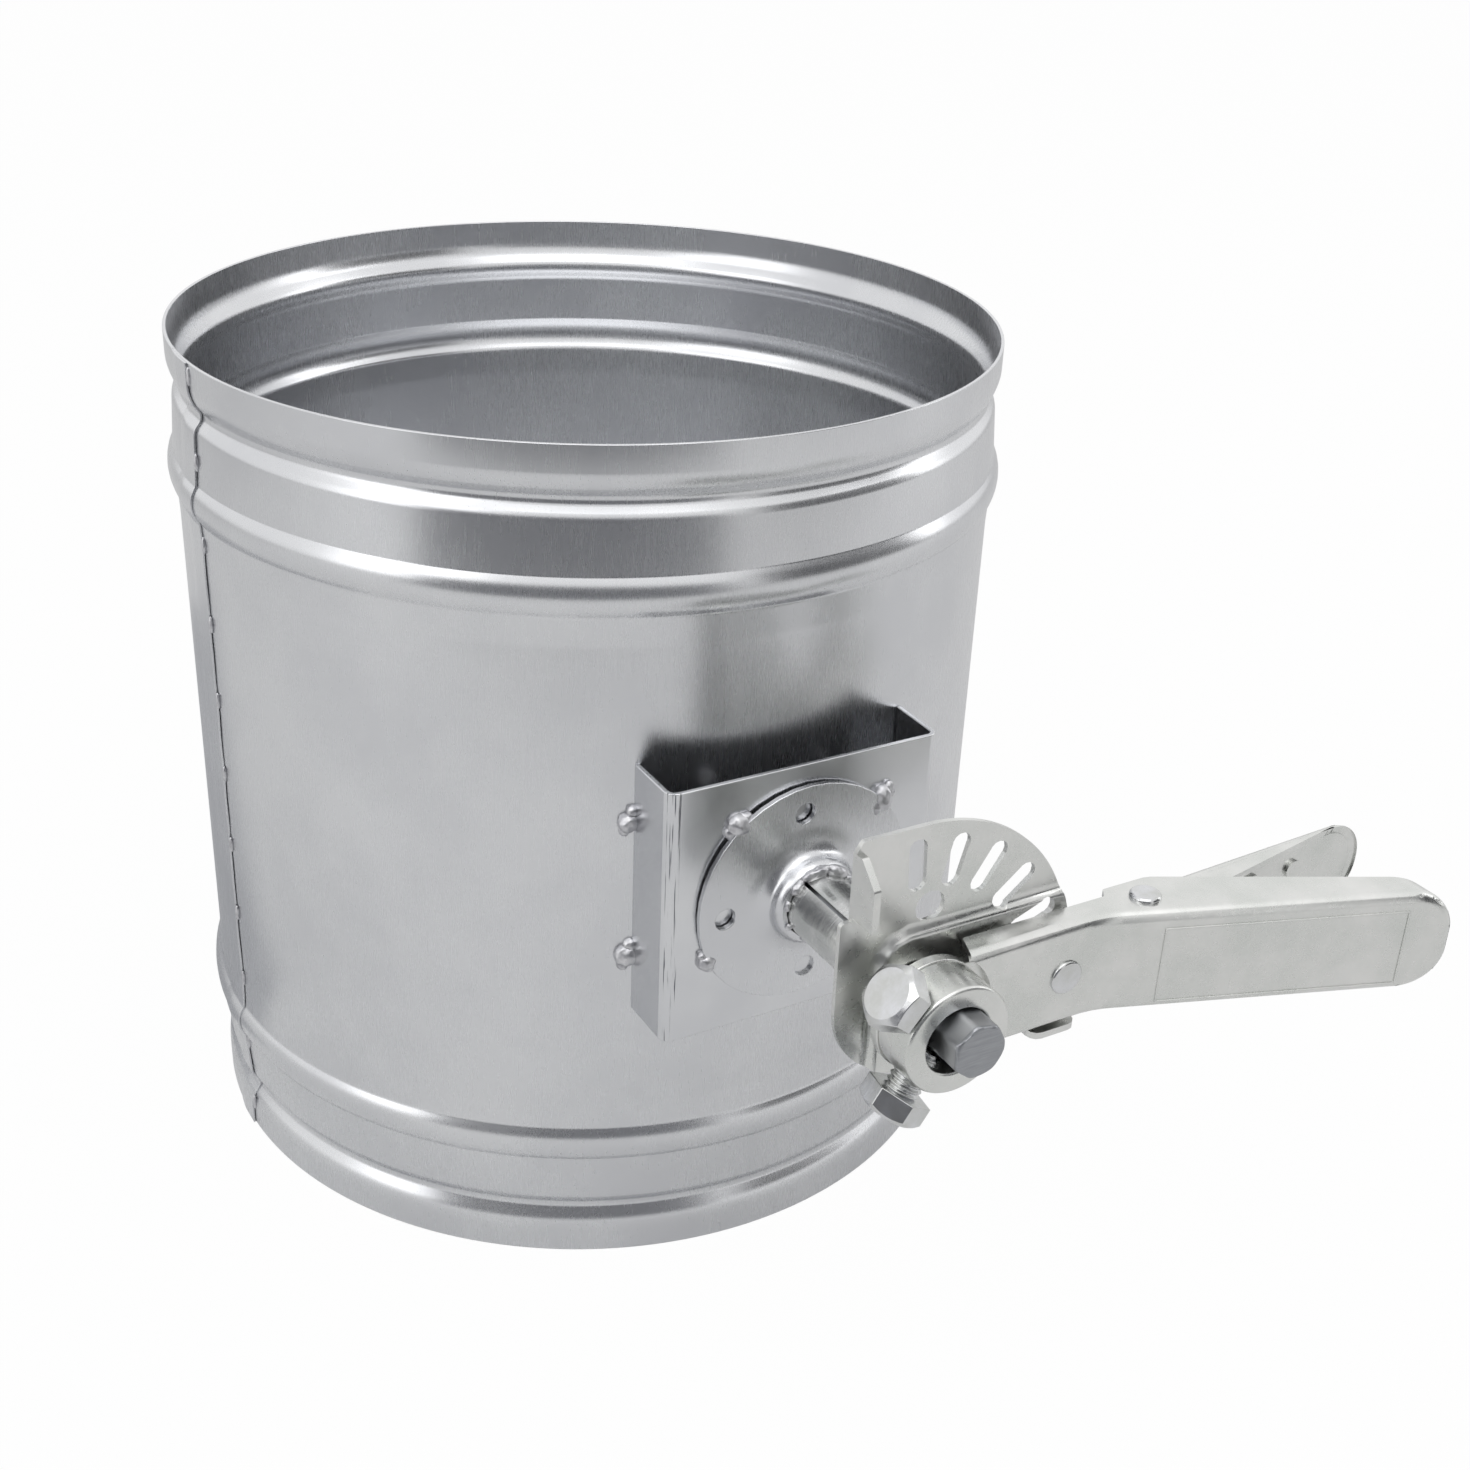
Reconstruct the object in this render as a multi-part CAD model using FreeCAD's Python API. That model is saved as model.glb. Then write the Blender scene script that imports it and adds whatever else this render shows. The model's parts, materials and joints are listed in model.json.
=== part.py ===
import FreeCAD, Part
import math
import os

# Stove pipe damper with a locking hand lever, in millimetres and degrees.
# X points to the right along the closed lever, -Y outwards along the shaft, Z up the duct.
# The origin is the middle of the lower rim. "s" is the distance outwards from the duct's axis.

# Duct: rolled sheet with a lap seam, a clamp groove and a bead near each end
duct_diameter = 200.0
duct_height = 206.0
duct_sheet = 0.8
collar_length = 9.5
groove_width = 6.0
groove_depth = 2.8
band_length = 12.7
bead_width = 9.2
bead_peak = 4.6
bead_rise = 2.0
lap_width = 12.0
lap_azimuth = -86.2

# Bracket, flange disc and sleeve that carry the shaft outside the wall
bracket_standoff = 10.0
bracket_width = 68.4
bracket_height = 63.0
bracket_sheet = 1.2
bracket_bend = 2.5
disc_diameter = 54.0
disc_thickness = 1.5
disc_neck_diameter = 21.0
disc_neck_height = 2.6
disc_neck_edge = 1.0
disc_hole_diameter = 5.0
disc_hole_circle = 41.0
disc_hole_count = 4
disc_turn = 4.0
sleeve_diameter = 16.0
sleeve_reach = 42.4
sleeve_seam_width = 0.8
sleeve_seam_angle = 122.0
rear_bush_reach = 6.0

# Tack welds: angles on the disc's rim, heights on the bracket's legs
tack_width = 6.4
tack_top = 3.0
tack_height = 2.4
tack_sides = 8
tack_offset = 1.5
disc_tack_angles = (44.0, 130.0, 206.0, 315.0)
bracket_tack_heights = (-17.0, 17.5)

# Shaft and blade
shaft_diameter = 12.5
shaft_stickout = 6.5
shaft_tail = 1.5
running_clearance = 0.05
seat_clearance = 0.05
wall_hole_clearance = 0.5
blade_gap = 1.2
blade_sheet = 1.5
blade_bolt_spots = (-52.0, 52.0)
blade_bolt_diameter = 6.0
blade_bolt_flats = 10.0
blade_bolt_head = 4.0
blade_nut_height = 5.0
blade_bolt_end = 1.5
washer_diameter = 12.0
washer_thickness = 1.2

# Quadrant: pressed plate with radial slots and two stop tabs
quadrant_sheet = 1.6
sector_radius = 39.0
hub_plate_radius = 19.0
platform_step = 1.5
platform_left = -9.0
platform_top = 14.0
platform_round = 8.0
slot_count = 7
slot_pitch = 18.0
slot_lead = -15.0
slot_width = 4.3
slot_length = 12.0
slot_rim = 2.8
sight_hole_diameter = 7.0
sight_hole_drop = 4.4
sight_hole_angle = 83.0
open_tab_outer = 16.5
open_tab_low = 22.0
open_tab_drop = 2.5
open_tab_reach = 7.0
open_tab_chamfer = 5.0
shut_tab_top = -15.0
shut_tab_start = 27.0
shut_tab_reach = 6.5
tab_round = 2.5
tab_relief = 1.0
plate_corner = 1.0
plate_foot_round = 6.0

# Hub, strap and set bolts
hub_diameter = 24.8
hub_bore = 15.3
hub_length = 10.3
hub_edge = 0.8
hub_spigot = 18.5
hub_spigot_length = 3.2
hub_gap = 0.5
shaft_push_angle = 50.0
strap_sheet = 2.5
strap_end_radius = 12.8
strap_length = 44.0
strap_corner = 3.0
set_bolt_diameter = 8.0
set_bolt_flats = 12.6
set_bolt_head = 5.3
set_bolt_gap = 0.1
upper_bolt_angle = 139.5
upper_bolt_seat = 13.6
upper_bolt_turn = 0.0
lower_bolt_angle = 236.0
lower_bolt_seat = 15.8
lower_bolt_turn = 30.0

# Main lever: folded channel, its grip bent outwards
lever_width = 25.0
lever_sheet = 1.5
inner_edge_share = 0.5
lever_edge = 1.6
lever_near_end = 7.3
lever_kink = 42.0
lever_kink_round = 25.0
lever_tilt = 19.0
lever_grip = 81.9
lever_end_round = 10.2
lever_flange = 6.6
lever_end_slant = 2.2
lever_hub_clearance = 1.75
ear_start = 46.5
ear_end = 60.0
ear_depth = 9.0
ear_ramp = 1.5
ear_round = 4.0
lever_corner = 0.5
tip_depth = 6.5
rivet_spot = 32.8
rivet_head = 7.6
rivet_head_height = 0.7
rivet_shank = 4.0

# Squeeze lever, pivot pin and return spring
pin_spot = 54.5
pin_depth = 2.7
pin_diameter = 5.0
pin_head = 6.8
pin_head_height = 1.1
squeeze_sheet = 1.5
squeeze_edge = 1.4
squeeze_side_gap = 0.5
squeeze_web_depth = 5.9
squeeze_tilt = -2.9
squeeze_near_end = 47.5
squeeze_tip = 127.0
squeeze_end_round = 10.1
squeeze_ear = 3.0
squeeze_ear_before = 4.0
squeeze_ear_after = 8.0
squeeze_ear_round = 4.0
squeeze_heel = 1.0
squeeze_flange_end = 116.0
squeeze_lip = 2.0
squeeze_lip_round = 10.0
dimple_spots = (92.5, 105.8)
dimple_rise = 2.3
dimple_diameter = 4.4
dimple_height = 0.8
nose_tip = 24.5
nose_width = 7.4
nose_drop = 4.1
nose_bend_start = 44.0
nose_round = 4.0
tooth_start = 27.5
tooth_end = 34.5
tooth_thickness = 2.4
tooth_gap = 0.4
tooth_round = 0.6
spring_wire = 1.1
spring_wire_sides = 4
spring_mean_radius = 3.3
spring_turns = 2.5
spring_pitch = 1.6
spring_leg = 12.0

# Places that follow from the sizes above
wall_radius = duct_diameter / 2
axis_height = duct_height / 2
bracket_face = wall_radius + bracket_standoff
sector_back = bracket_face + sleeve_reach
sector_face = sector_back + quadrant_sheet
platform_face = sector_face + platform_step
hub_back = platform_face + hub_gap
strap_back = hub_back + hub_spigot_length
strap_face = strap_back + strap_sheet
hub_face = strap_face + hub_length
lever_face = strap_face + lever_sheet
shaft_end = hub_face + shaft_stickout
bore_push = (hub_bore - shaft_diameter) / 2 - seat_clearance
hub_x = -bore_push * math.cos(math.radians(shaft_push_angle))
hub_z = -bore_push * math.sin(math.radians(shaft_push_angle))
pin_s = lever_face - pin_depth
lever_half = lever_width / 2
squeeze_half = lever_half - lever_sheet - squeeze_side_gap
slot_outer = sector_radius - slot_rim
slot_inner = slot_outer - slot_length
sight_hole_radius = slot_inner - sight_hole_drop
open_tab_high = sector_radius - open_tab_drop
tooth_z = (slot_inner + slot_outer) / 2 * math.sin(math.radians(slot_lead))
blade_radius = wall_radius - duct_sheet - blade_gap
far = 4 * duct_diameter
round_sides = 40
small_sides = 12
small_round = 8.5
small_round_step = math.radians(31)
tiny = 1e-4


def at(x, s, z):
    """Point from x, outward distance s and height z over the shaft's axis."""
    return FreeCAD.Vector(x, -s, axis_height + z)


def rounded_wire(corners, place, closed=True):
    """Wire through 2-D corners (u, v, radius), each corner rounded; small rounds are short straight steps."""
    count = len(corners)
    points = [FreeCAD.Vector(u, v, 0) for u, v, radius in corners]
    edges = []
    last = None
    for i, (u, v, radius) in enumerate(corners):
        back = (points[i - 1] - points[i]).normalize()
        ahead = (points[(i + 1) % count] - points[i]).normalize()
        half_angle = back.getAngle(ahead) / 2
        if radius == 0 or (not closed and i in (0, count - 1)):
            trail = [points[i]]
        else:
            start = points[i] + back * (radius / math.tan(half_angle))
            end = points[i] + ahead * (radius / math.tan(half_angle))
            centre = points[i] + (back + ahead).normalize() * (radius / math.sin(half_angle))
            sweep = math.pi - 2 * half_angle
            steps = 2 if radius > small_round else max(1, math.ceil(sweep / small_round_step))
            trail = []
            for k in range(steps + 1):
                share = k / steps
                spoke = (start - centre) * math.sin((1 - share) * sweep) + (end - centre) * math.sin(share * sweep)
                trail.append(centre + spoke * (1 / math.sin(sweep)))
        places = [place(point) for point in trail]
        if last and last.distanceToPoint(places[0]) > tiny:
            edges.append(Part.LineSegment(last, places[0]).toShape())
        if radius > small_round and len(places) == 3:
            edges.append(Part.Arc(*places).toShape())
        else:
            edges += [Part.LineSegment(a, b).toShape() for a, b in zip(places, places[1:])]
        last = places[-1]
        first = places[0] if i == 0 else first
    if closed and last.distanceToPoint(first) > tiny:
        edges.append(Part.LineSegment(last, first).toShape())
    return Part.Wire(edges)


def front_prism(corners, s_low, s_high):
    """Outline in x and z, extruded outwards from s_low to s_high."""
    wire = rounded_wire(corners, lambda p: at(p.x, s_low, p.y))
    return Part.Face(wire).extrude(FreeCAD.Vector(0, s_low - s_high, 0))


def top_prism(corners, z_low, z_high):
    """Outline in x and s, extruded upwards from z_low to z_high."""
    wire = rounded_wire(corners, lambda p: at(p.x, p.y, z_low))
    return Part.Face(wire).extrude(FreeCAD.Vector(0, 0, z_high - z_low))


def side_prism(corners, x_low, x_high):
    """Outline in s and z, extruded to the right from x_low to x_high."""
    wire = rounded_wire(corners, lambda p: at(x_low, p.x, p.y))
    return Part.Face(wire).extrude(FreeCAD.Vector(x_high - x_low, 0, 0))


def rod(x, z, radius, s_low, s_high):
    """Cylinder along the shaft's direction."""
    return Part.makeCylinder(radius, s_high - s_low, at(x, s_low, z), FreeCAD.Vector(0, -1, 0))


def post(x, s, radius, z_low, z_high):
    """Upright cylinder, heights over the shaft's axis."""
    return Part.makeCylinder(radius, z_high - z_low, at(x, s, z_low), FreeCAD.Vector(0, 0, 1))


def on_circle(radius, angle):
    """x and z of a point on a circle about the shaft."""
    return radius * math.cos(math.radians(angle)), radius * math.sin(math.radians(angle))


def turn_about_shaft(shape, angle):
    """Turns a shape about the shaft, from the right towards the top."""
    shape.rotate(at(0, 0, 0), FreeCAD.Vector(0, -1, 0), angle)
    return shape


def many_sided(sides, radius, base, direction, length, turn=0):
    """Prism whose flats touch a circle: hexagon heads, and small round forms, which get few sides."""
    corner = radius / math.cos(math.pi / sides)
    angles = [2 * math.pi * i / sides + math.radians(turn) for i in range(sides + 1)]
    points = [FreeCAD.Vector(corner * math.cos(angle), corner * math.sin(angle), 0) for angle in angles]
    prism = Part.Face(Part.makePolygon(points)).extrude(FreeCAD.Vector(0, 0, length))
    prism.Placement = FreeCAD.Placement(base, FreeCAD.Rotation(FreeCAD.Vector(0, 0, 1), direction))
    return prism


def topped(sides, radius, base, direction, length, chamfer):
    """Many-sided prism with a chamfer round its far end."""
    prism = many_sided(sides, radius, base, direction, length)
    crown = max(prism.Faces, key=lambda face: (face.CenterOfMass - base).dot(direction))
    return prism.makeChamfer(chamfer, crown.Edges)


def small_rod(x, z, radius, s_low, s_high):
    """Small round form along the shaft's direction."""
    return many_sided(small_sides, radius, at(x, s_low, z), FreeCAD.Vector(0, -1, 0), s_high - s_low)


def small_post(x, s, radius, z_low, z_high):
    """Small upright round form."""
    return many_sided(small_sides, radius, at(x, s, z_low), FreeCAD.Vector(0, 0, 1), z_high - z_low)


def hexagon(flats, height, base, direction, turn=0):
    return many_sided(6, flats / 2, base, direction, height, turn)


def wall_line(offset):
    """Half section of the duct wall from rim to rim, moved outwards by offset."""
    groove_end = collar_length + groove_width
    bead_start = groove_end + band_length
    half = [
        (wall_radius, 0),
        (wall_radius, collar_length),
        (wall_radius - groove_depth, collar_length + groove_width / 2),
        (wall_radius, groove_end),
        (wall_radius, bead_start),
        (wall_radius + bead_rise, bead_start + bead_peak),
        (wall_radius, bead_start + bead_width),
    ]
    mirrored = [(radius, duct_height - height) for radius, height in reversed(half)]
    return [(radius + offset, height, 0) for radius, height in half + mirrored]


def wall_sweep(inner, outer, start, angle):
    """Wall between two offsets, swept about the duct's axis from a start azimuth."""
    wire = rounded_wire(wall_line(outer) + wall_line(inner)[::-1], lambda p: FreeCAD.Vector(0, -p.x, p.y))
    sweep = Part.Face(wire).revolve(FreeCAD.Vector(0, 0, 0), FreeCAD.Vector(0, 0, 1), angle)
    sweep.rotate(FreeCAD.Vector(0, 0, 0), FreeCAD.Vector(0, 0, 1), start)
    return sweep


def make_duct_body():
    lap_angle = math.degrees(lap_width / wall_radius)
    tube = wall_sweep(-duct_sheet, 0, 0, 360)
    lap = wall_sweep(-duct_sheet / 2, duct_sheet, lap_azimuth - lap_angle, lap_angle)
    front_hole = small_rod(0, 0, shaft_diameter / 2 + wall_hole_clearance, 0, far)
    rear_hole = small_rod(0, 0, sleeve_diameter / 2 + seat_clearance, -far, 0)
    return tube.fuse(lap).cut(front_hole).cut(rear_hole)


def duct_filler():
    """Solid cylinder that seats pieces on the outside of the wall."""
    return Part.makeCylinder(wall_radius + seat_clearance, duct_height)


def make_mounting_bracket():
    half = bracket_width / 2
    inner = half - bracket_sheet
    inner_face = bracket_face - bracket_sheet
    inner_bend = bracket_bend - bracket_sheet
    channel = top_prism([
        (-half, 0, 0), (-half, bracket_face, bracket_bend), (half, bracket_face, bracket_bend), (half, 0, 0),
        (inner, 0, 0), (inner, inner_face, inner_bend), (-inner, inner_face, inner_bend), (-inner, 0, 0),
    ], -bracket_height / 2, bracket_height / 2)
    hole = small_rod(0, 0, sleeve_diameter / 2 + seat_clearance, inner_face, bracket_face)
    return channel.cut(duct_filler()).cut(hole)


def make_flange_disc():
    face = bracket_face + disc_thickness
    outwards = FreeCAD.Vector(0, -1, 0)
    disc = many_sided(round_sides, disc_diameter / 2, at(0, bracket_face, 0), outwards, disc_thickness)
    neck = topped(round_sides, disc_neck_diameter / 2, at(0, face, 0), outwards, disc_neck_height, disc_neck_edge)
    hole = small_rod(0, 0, sleeve_diameter / 2 + seat_clearance, bracket_face, face + disc_neck_height)
    disc = disc.fuse(neck).cut(hole)
    for i in range(disc_hole_count):
        x, z = on_circle(disc_hole_circle / 2, disc_turn + i * 360 / disc_hole_count)
        disc = disc.cut(small_rod(x, z, disc_hole_diameter / 2, bracket_face, face))
    return disc


def shaft_tube(s_low, s_high):
    """Tube that the shaft turns in."""
    outwards = FreeCAD.Vector(0, -1, 0)
    tube = many_sided(round_sides, sleeve_diameter / 2, at(0, s_low, 0), outwards, s_high - s_low)
    bore = many_sided(round_sides, shaft_diameter / 2 + running_clearance, at(0, s_low, 0), outwards, s_high - s_low)
    return tube.cut(bore)


def make_shaft_sleeve():
    start = bracket_face - bracket_sheet
    half = sleeve_seam_width / 2
    seam = front_prism([(0, -half, 0), (sleeve_diameter, -half, 0), (sleeve_diameter, half, 0), (0, half, 0)],
                       start, sector_back)
    return shaft_tube(start, sector_back).cut(turn_about_shaft(seam, sleeve_seam_angle))


def make_rear_bush():
    return shaft_tube(-wall_radius - rear_bush_reach, -wall_radius + duct_sheet)


def tack(base, direction):
    """Lump of weld metal, wide where it sits and narrower on top."""
    return topped(tack_sides, tack_width / 2, base, direction, tack_height, (tack_width - tack_top) / 2)


def make_disc_tacks(disc):
    tacks = []
    for angle in disc_tack_angles:
        x, z = on_circle(disc_diameter / 2, angle)
        tacks.append(tack(at(x, bracket_face, z), FreeCAD.Vector(0, -1, 0)).cut(disc))
    return Part.makeCompound(tacks)


def make_bracket_tacks():
    half = bracket_width / 2
    x = half + tack_offset
    s = math.sqrt(wall_radius ** 2 - x ** 2)
    between_legs = top_prism([(-half, 0, 0), (-half, far, 0), (half, far, 0), (half, 0, 0)], -far, far)
    tacks = []
    for side in (-1, 1):
        for height in bracket_tack_heights:
            lump = tack(at(side * x, s, height), FreeCAD.Vector(side * x, -s, 0).normalize())
            tacks.append(lump.cut(between_legs).cut(duct_filler()))
    return Part.makeCompound(tacks)


def make_quadrant_plate():
    shut_tab_low = shut_tab_top - quadrant_sheet
    open_tab_inner = open_tab_outer - quadrant_sheet
    outline = front_prism([
        (-hub_plate_radius, -hub_plate_radius, hub_plate_radius),
        (-hub_plate_radius, open_tab_low - tab_relief, plate_corner),
        (-open_tab_outer, open_tab_low - tab_relief, 0),
        (-open_tab_outer, open_tab_high, 0),
        (-open_tab_inner, sector_radius, plate_corner),
        (sector_radius, sector_radius, sector_radius),
        (sector_radius, shut_tab_low, plate_corner),
        (shut_tab_start, shut_tab_low, plate_corner),
        (shut_tab_start - quadrant_sheet, shut_tab_top, plate_corner),
        (hub_plate_radius / 2, -hub_plate_radius, plate_foot_round),
    ], sector_back, platform_face)

    def raised(shift):
        """Block with sloping walls under the platform, moved along the shaft."""
        left, top = platform_left - platform_step, platform_top + platform_step
        block = front_prism([(left, -far, 0), (left, top, platform_round), (far, top, 0), (far, -far, 0)],
                            sector_face + shift, platform_face + shift)
        crown = min(block.Faces, key=lambda face: face.CenterOfMass.y)
        return block.makeChamfer(platform_step - tiny, crown.Edges)

    slab = front_prism([(-far, -far, 0), (far, -far, 0), (far, far, 0), (-far, far, 0)], sector_back, sector_face)
    plate = slab.fuse(raised(0)).cut(raised(-quadrant_sheet)).common(outline)
    shut_tab = top_prism([
        (shut_tab_start, platform_face - quadrant_sheet, 0),
        (shut_tab_start, platform_face + shut_tab_reach, tab_round),
        (sector_radius, platform_face + shut_tab_reach, tab_round),
        (sector_radius, platform_face - quadrant_sheet, 0),
    ], shut_tab_low, shut_tab_top)
    open_tab = side_prism([
        (sector_back, open_tab_low, 0),
        (sector_face + open_tab_reach, open_tab_low, 0),
        (sector_face + open_tab_reach, open_tab_high - open_tab_chamfer, plate_corner),
        (sector_face + open_tab_reach - open_tab_chamfer, open_tab_high, plate_corner),
        (sector_back, open_tab_high, 0),
    ], -open_tab_outer, -open_tab_inner)
    plate = plate.fuse(shut_tab).fuse(open_tab).removeSplitter()
    plate = plate.cut(small_rod(0, 0, shaft_diameter / 2 + wall_hole_clearance, sector_back, platform_face))
    x, z = on_circle(sight_hole_radius, sight_hole_angle)
    plate = plate.cut(small_rod(x, z, sight_hole_diameter / 2, sector_back, platform_face))
    half = slot_width / 2
    for i in range(slot_count):
        first = small_rod(slot_inner + half, 0, half, sector_back, platform_face)
        last = small_rod(slot_outer - half, 0, half, sector_back, platform_face)
        middle = front_prism([
            (slot_inner + half, -half, 0), (slot_outer - half, -half, 0),
            (slot_outer - half, half, 0), (slot_inner + half, half, 0),
        ], sector_back, platform_face)
        slot = first.fuse(middle).fuse(last).removeSplitter()
        plate = plate.cut(turn_about_shaft(slot, slot_lead + i * slot_pitch))
    return plate


def make_shaft():
    shaft = rod(0, 0, shaft_diameter / 2, -wall_radius - rear_bush_reach - shaft_tail, shaft_end)
    for spot in blade_bolt_spots:
        shaft = shaft.cut(small_post(0, spot, blade_bolt_diameter / 2 + seat_clearance, -shaft_diameter, shaft_diameter))
    return shaft


def make_blade():
    low = shaft_diameter / 2
    blade = post(0, 0, blade_radius, low, low + blade_sheet)
    for spot in blade_bolt_spots:
        blade = blade.cut(small_post(0, spot, blade_bolt_diameter / 2 + seat_clearance, low, low + blade_sheet))
    return blade


def make_blade_bolts():
    seat = shaft_diameter / 2 + blade_sheet
    end = -shaft_diameter / 2 - washer_thickness - blade_nut_height - blade_bolt_end
    bolts = []
    for spot in blade_bolt_spots:
        head = hexagon(blade_bolt_flats, blade_bolt_head, at(0, spot, seat), FreeCAD.Vector(0, 0, 1))
        bolts.append(head.fuse(small_post(0, spot, blade_bolt_diameter / 2, end, seat)))
    return Part.makeCompound(bolts)


def make_blade_washers():
    high = -shaft_diameter / 2
    low = high - washer_thickness
    washers = []
    for spot in blade_bolt_spots:
        hole = small_post(0, spot, blade_bolt_diameter / 2 + seat_clearance, low, high)
        washers.append(small_post(0, spot, washer_diameter / 2, low, high).cut(hole))
    return Part.makeCompound(washers)


def make_blade_nuts():
    high = -shaft_diameter / 2 - washer_thickness
    nuts = []
    for spot in blade_bolt_spots:
        nut = hexagon(blade_bolt_flats, blade_nut_height, at(0, spot, high), FreeCAD.Vector(0, 0, -1))
        hole = small_post(0, spot, blade_bolt_diameter / 2 + seat_clearance, high - blade_nut_height, high)
        nuts.append(nut.cut(hole))
    return Part.makeCompound(nuts)


def bolt_direction(angle):
    return FreeCAD.Vector(math.cos(math.radians(angle)), 0, math.sin(math.radians(angle)))


def bolt_base(radius, angle):
    """Point on a set bolt's own line, at a distance from the hub's middle."""
    corner = set_bolt_diameter / 2 / math.cos(math.pi / small_sides)
    middle = at(hub_x, strap_face + corner + set_bolt_gap, hub_z)
    return middle + bolt_direction(angle) * radius


def make_hub():
    outwards = FreeCAD.Vector(0, -1, 0)
    ring = topped(round_sides, hub_diameter / 2, at(hub_x, strap_face, hub_z), outwards, hub_length, hub_edge)
    back = at(hub_x, hub_back, hub_z)
    spigot = many_sided(round_sides, hub_spigot / 2, back, outwards, strap_face - hub_back)
    hub = ring.fuse(spigot).cut(many_sided(round_sides, hub_bore / 2, back, outwards, hub_face - hub_back))
    for angle in (upper_bolt_angle, lower_bolt_angle):
        hole = many_sided(small_sides, set_bolt_diameter / 2 + seat_clearance, bolt_base(0, angle),
                          bolt_direction(angle), hub_diameter)
        hub = hub.cut(hole)
    return hub


def make_set_bolt(angle, seat, head_turn):
    """Hexagon bolt through the hub, its end on the shaft."""
    direction = bolt_direction(angle)
    shaft_side = -(hub_x * direction.x + hub_z * direction.z)
    end = shaft_side + shaft_diameter / 2 + seat_clearance
    shank = many_sided(small_sides, set_bolt_diameter / 2, bolt_base(end, angle), direction, seat - end)
    head = hexagon(set_bolt_flats, set_bolt_head, bolt_base(seat, angle), direction, head_turn)
    return shank.fuse(head)


def make_strap():
    half = lever_half - lever_sheet - lever_edge * inner_edge_share - seat_clearance
    disc = rod(hub_x, hub_z, strap_end_radius, strap_back, strap_face)
    arm = front_prism([
        (hub_x, hub_z - half, 0), (strap_length, hub_z - half, strap_corner),
        (strap_length, hub_z + half, strap_corner), (hub_x, hub_z + half, 0),
    ], strap_back, strap_face)
    hub_hole = small_rod(hub_x, hub_z, hub_spigot / 2 + seat_clearance, strap_back, strap_face)
    rivet_hole = small_rod(rivet_spot, hub_z, rivet_shank / 2 + seat_clearance, strap_back, strap_face)
    return disc.fuse(arm).removeSplitter().cut(hub_hole).cut(rivet_hole)


def channel_block(path, closing, half_width, tip, end_round, edge_chamfer):
    """Block behind a bent face: the face follows path, its edges are broken and its end is rounded."""
    side = top_prism(path + closing, hub_z - half_width, hub_z + half_width)
    plan = front_prism([
        (-far, hub_z - half_width, 0), (tip, hub_z - half_width, end_round),
        (tip, hub_z + half_width, end_round), (-far, hub_z + half_width, 0),
    ], 0, far)
    block = side.common(plan)
    face_line = rounded_wire(path, lambda p: at(p.x, p.y, hub_z), closed=False)

    def on_face(edge):
        low, high = edge.ParameterRange
        points = [edge.valueAt(low + (high - low) * i / 4) for i in range(5)]
        flat = [FreeCAD.Vector(p.x, p.y, axis_height + hub_z) for p in points]
        reach = max(p.x for p in points) - path[0][0]
        return reach > edge_chamfer and all(face_line.distToShape(Part.Vertex(p))[0] < 0.01 for p in flat)

    return block.makeChamfer(edge_chamfer, [edge for edge in block.Edges if on_face(edge)])


def make_main_lever():
    slope = math.radians(lever_tilt)

    def face_path(inset, near_end):
        kink = lever_kink + inset * math.tan(slope / 2)
        face = lever_face - inset
        reach = 2 * lever_grip
        return [(near_end, face, 0), (kink, face, lever_kink_round + inset),
                (kink + reach * math.cos(slope), face + reach * math.sin(slope), 0)]

    tip = lever_kink + lever_grip * math.cos(slope)
    tip_back = lever_face + lever_grip * math.sin(slope) - tip_depth / math.cos(slope)
    ear_back = lever_face - ear_depth
    taper = (tip_back - ear_back) / (tip - ear_end)
    flange_back = lever_face - lever_flange
    closing = [
        (2 * tip, ear_back + taper * (2 * tip - ear_end), 0), (ear_end, ear_back, ear_round),
        (ear_start + ear_ramp, ear_back, lever_corner), (ear_start, flange_back, lever_corner),
        (lever_near_end + lever_end_slant, flange_back, lever_corner),
    ]
    outer = channel_block(face_path(0, lever_near_end), closing, lever_half, tip, lever_end_round, lever_edge)
    hollow = channel_block(face_path(lever_sheet, -far), [(far, 0, 0), (-far, 0, 0)], lever_half - lever_sheet,
                           tip - lever_sheet, lever_end_round - lever_sheet, lever_edge * inner_edge_share)
    lever = outer.cut(hollow)
    lever = lever.cut(rod(hub_x, hub_z, hub_diameter / 2 + lever_hub_clearance, strap_face, lever_face))
    lever = lever.cut(small_rod(rivet_spot, hub_z, rivet_shank / 2 + seat_clearance, strap_back, lever_face))
    return lever.cut(small_post(pin_spot, pin_s, pin_diameter / 2 + seat_clearance, hub_z - lever_half,
                                hub_z + lever_half))


def make_lever_rivet():
    head = rivet_head / 2
    shank = small_rod(rivet_spot, hub_z, rivet_shank / 2, strap_back, lever_face)
    back = small_rod(rivet_spot, hub_z, head, strap_back - rivet_head_height, strap_back)
    front = small_rod(rivet_spot, hub_z, head, lever_face, lever_face + rivet_head_height)
    return shank.fuse(back).fuse(front)


def make_pivot_pin():
    low, high = hub_z - lever_half, hub_z + lever_half
    shank = post(pin_spot, pin_s, pin_diameter / 2, low, high)
    upper = small_post(pin_spot, pin_s, pin_head / 2, high, high + pin_head_height)
    lower = small_post(pin_spot, pin_s, pin_head / 2, low - pin_head_height, low)
    return shank.fuse(upper).fuse(lower)


def squeeze_web(x):
    """Back face of the squeeze lever's web at a distance along the lever."""
    return pin_s - squeeze_web_depth + (x - pin_spot) * math.tan(math.radians(squeeze_tilt))


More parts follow.
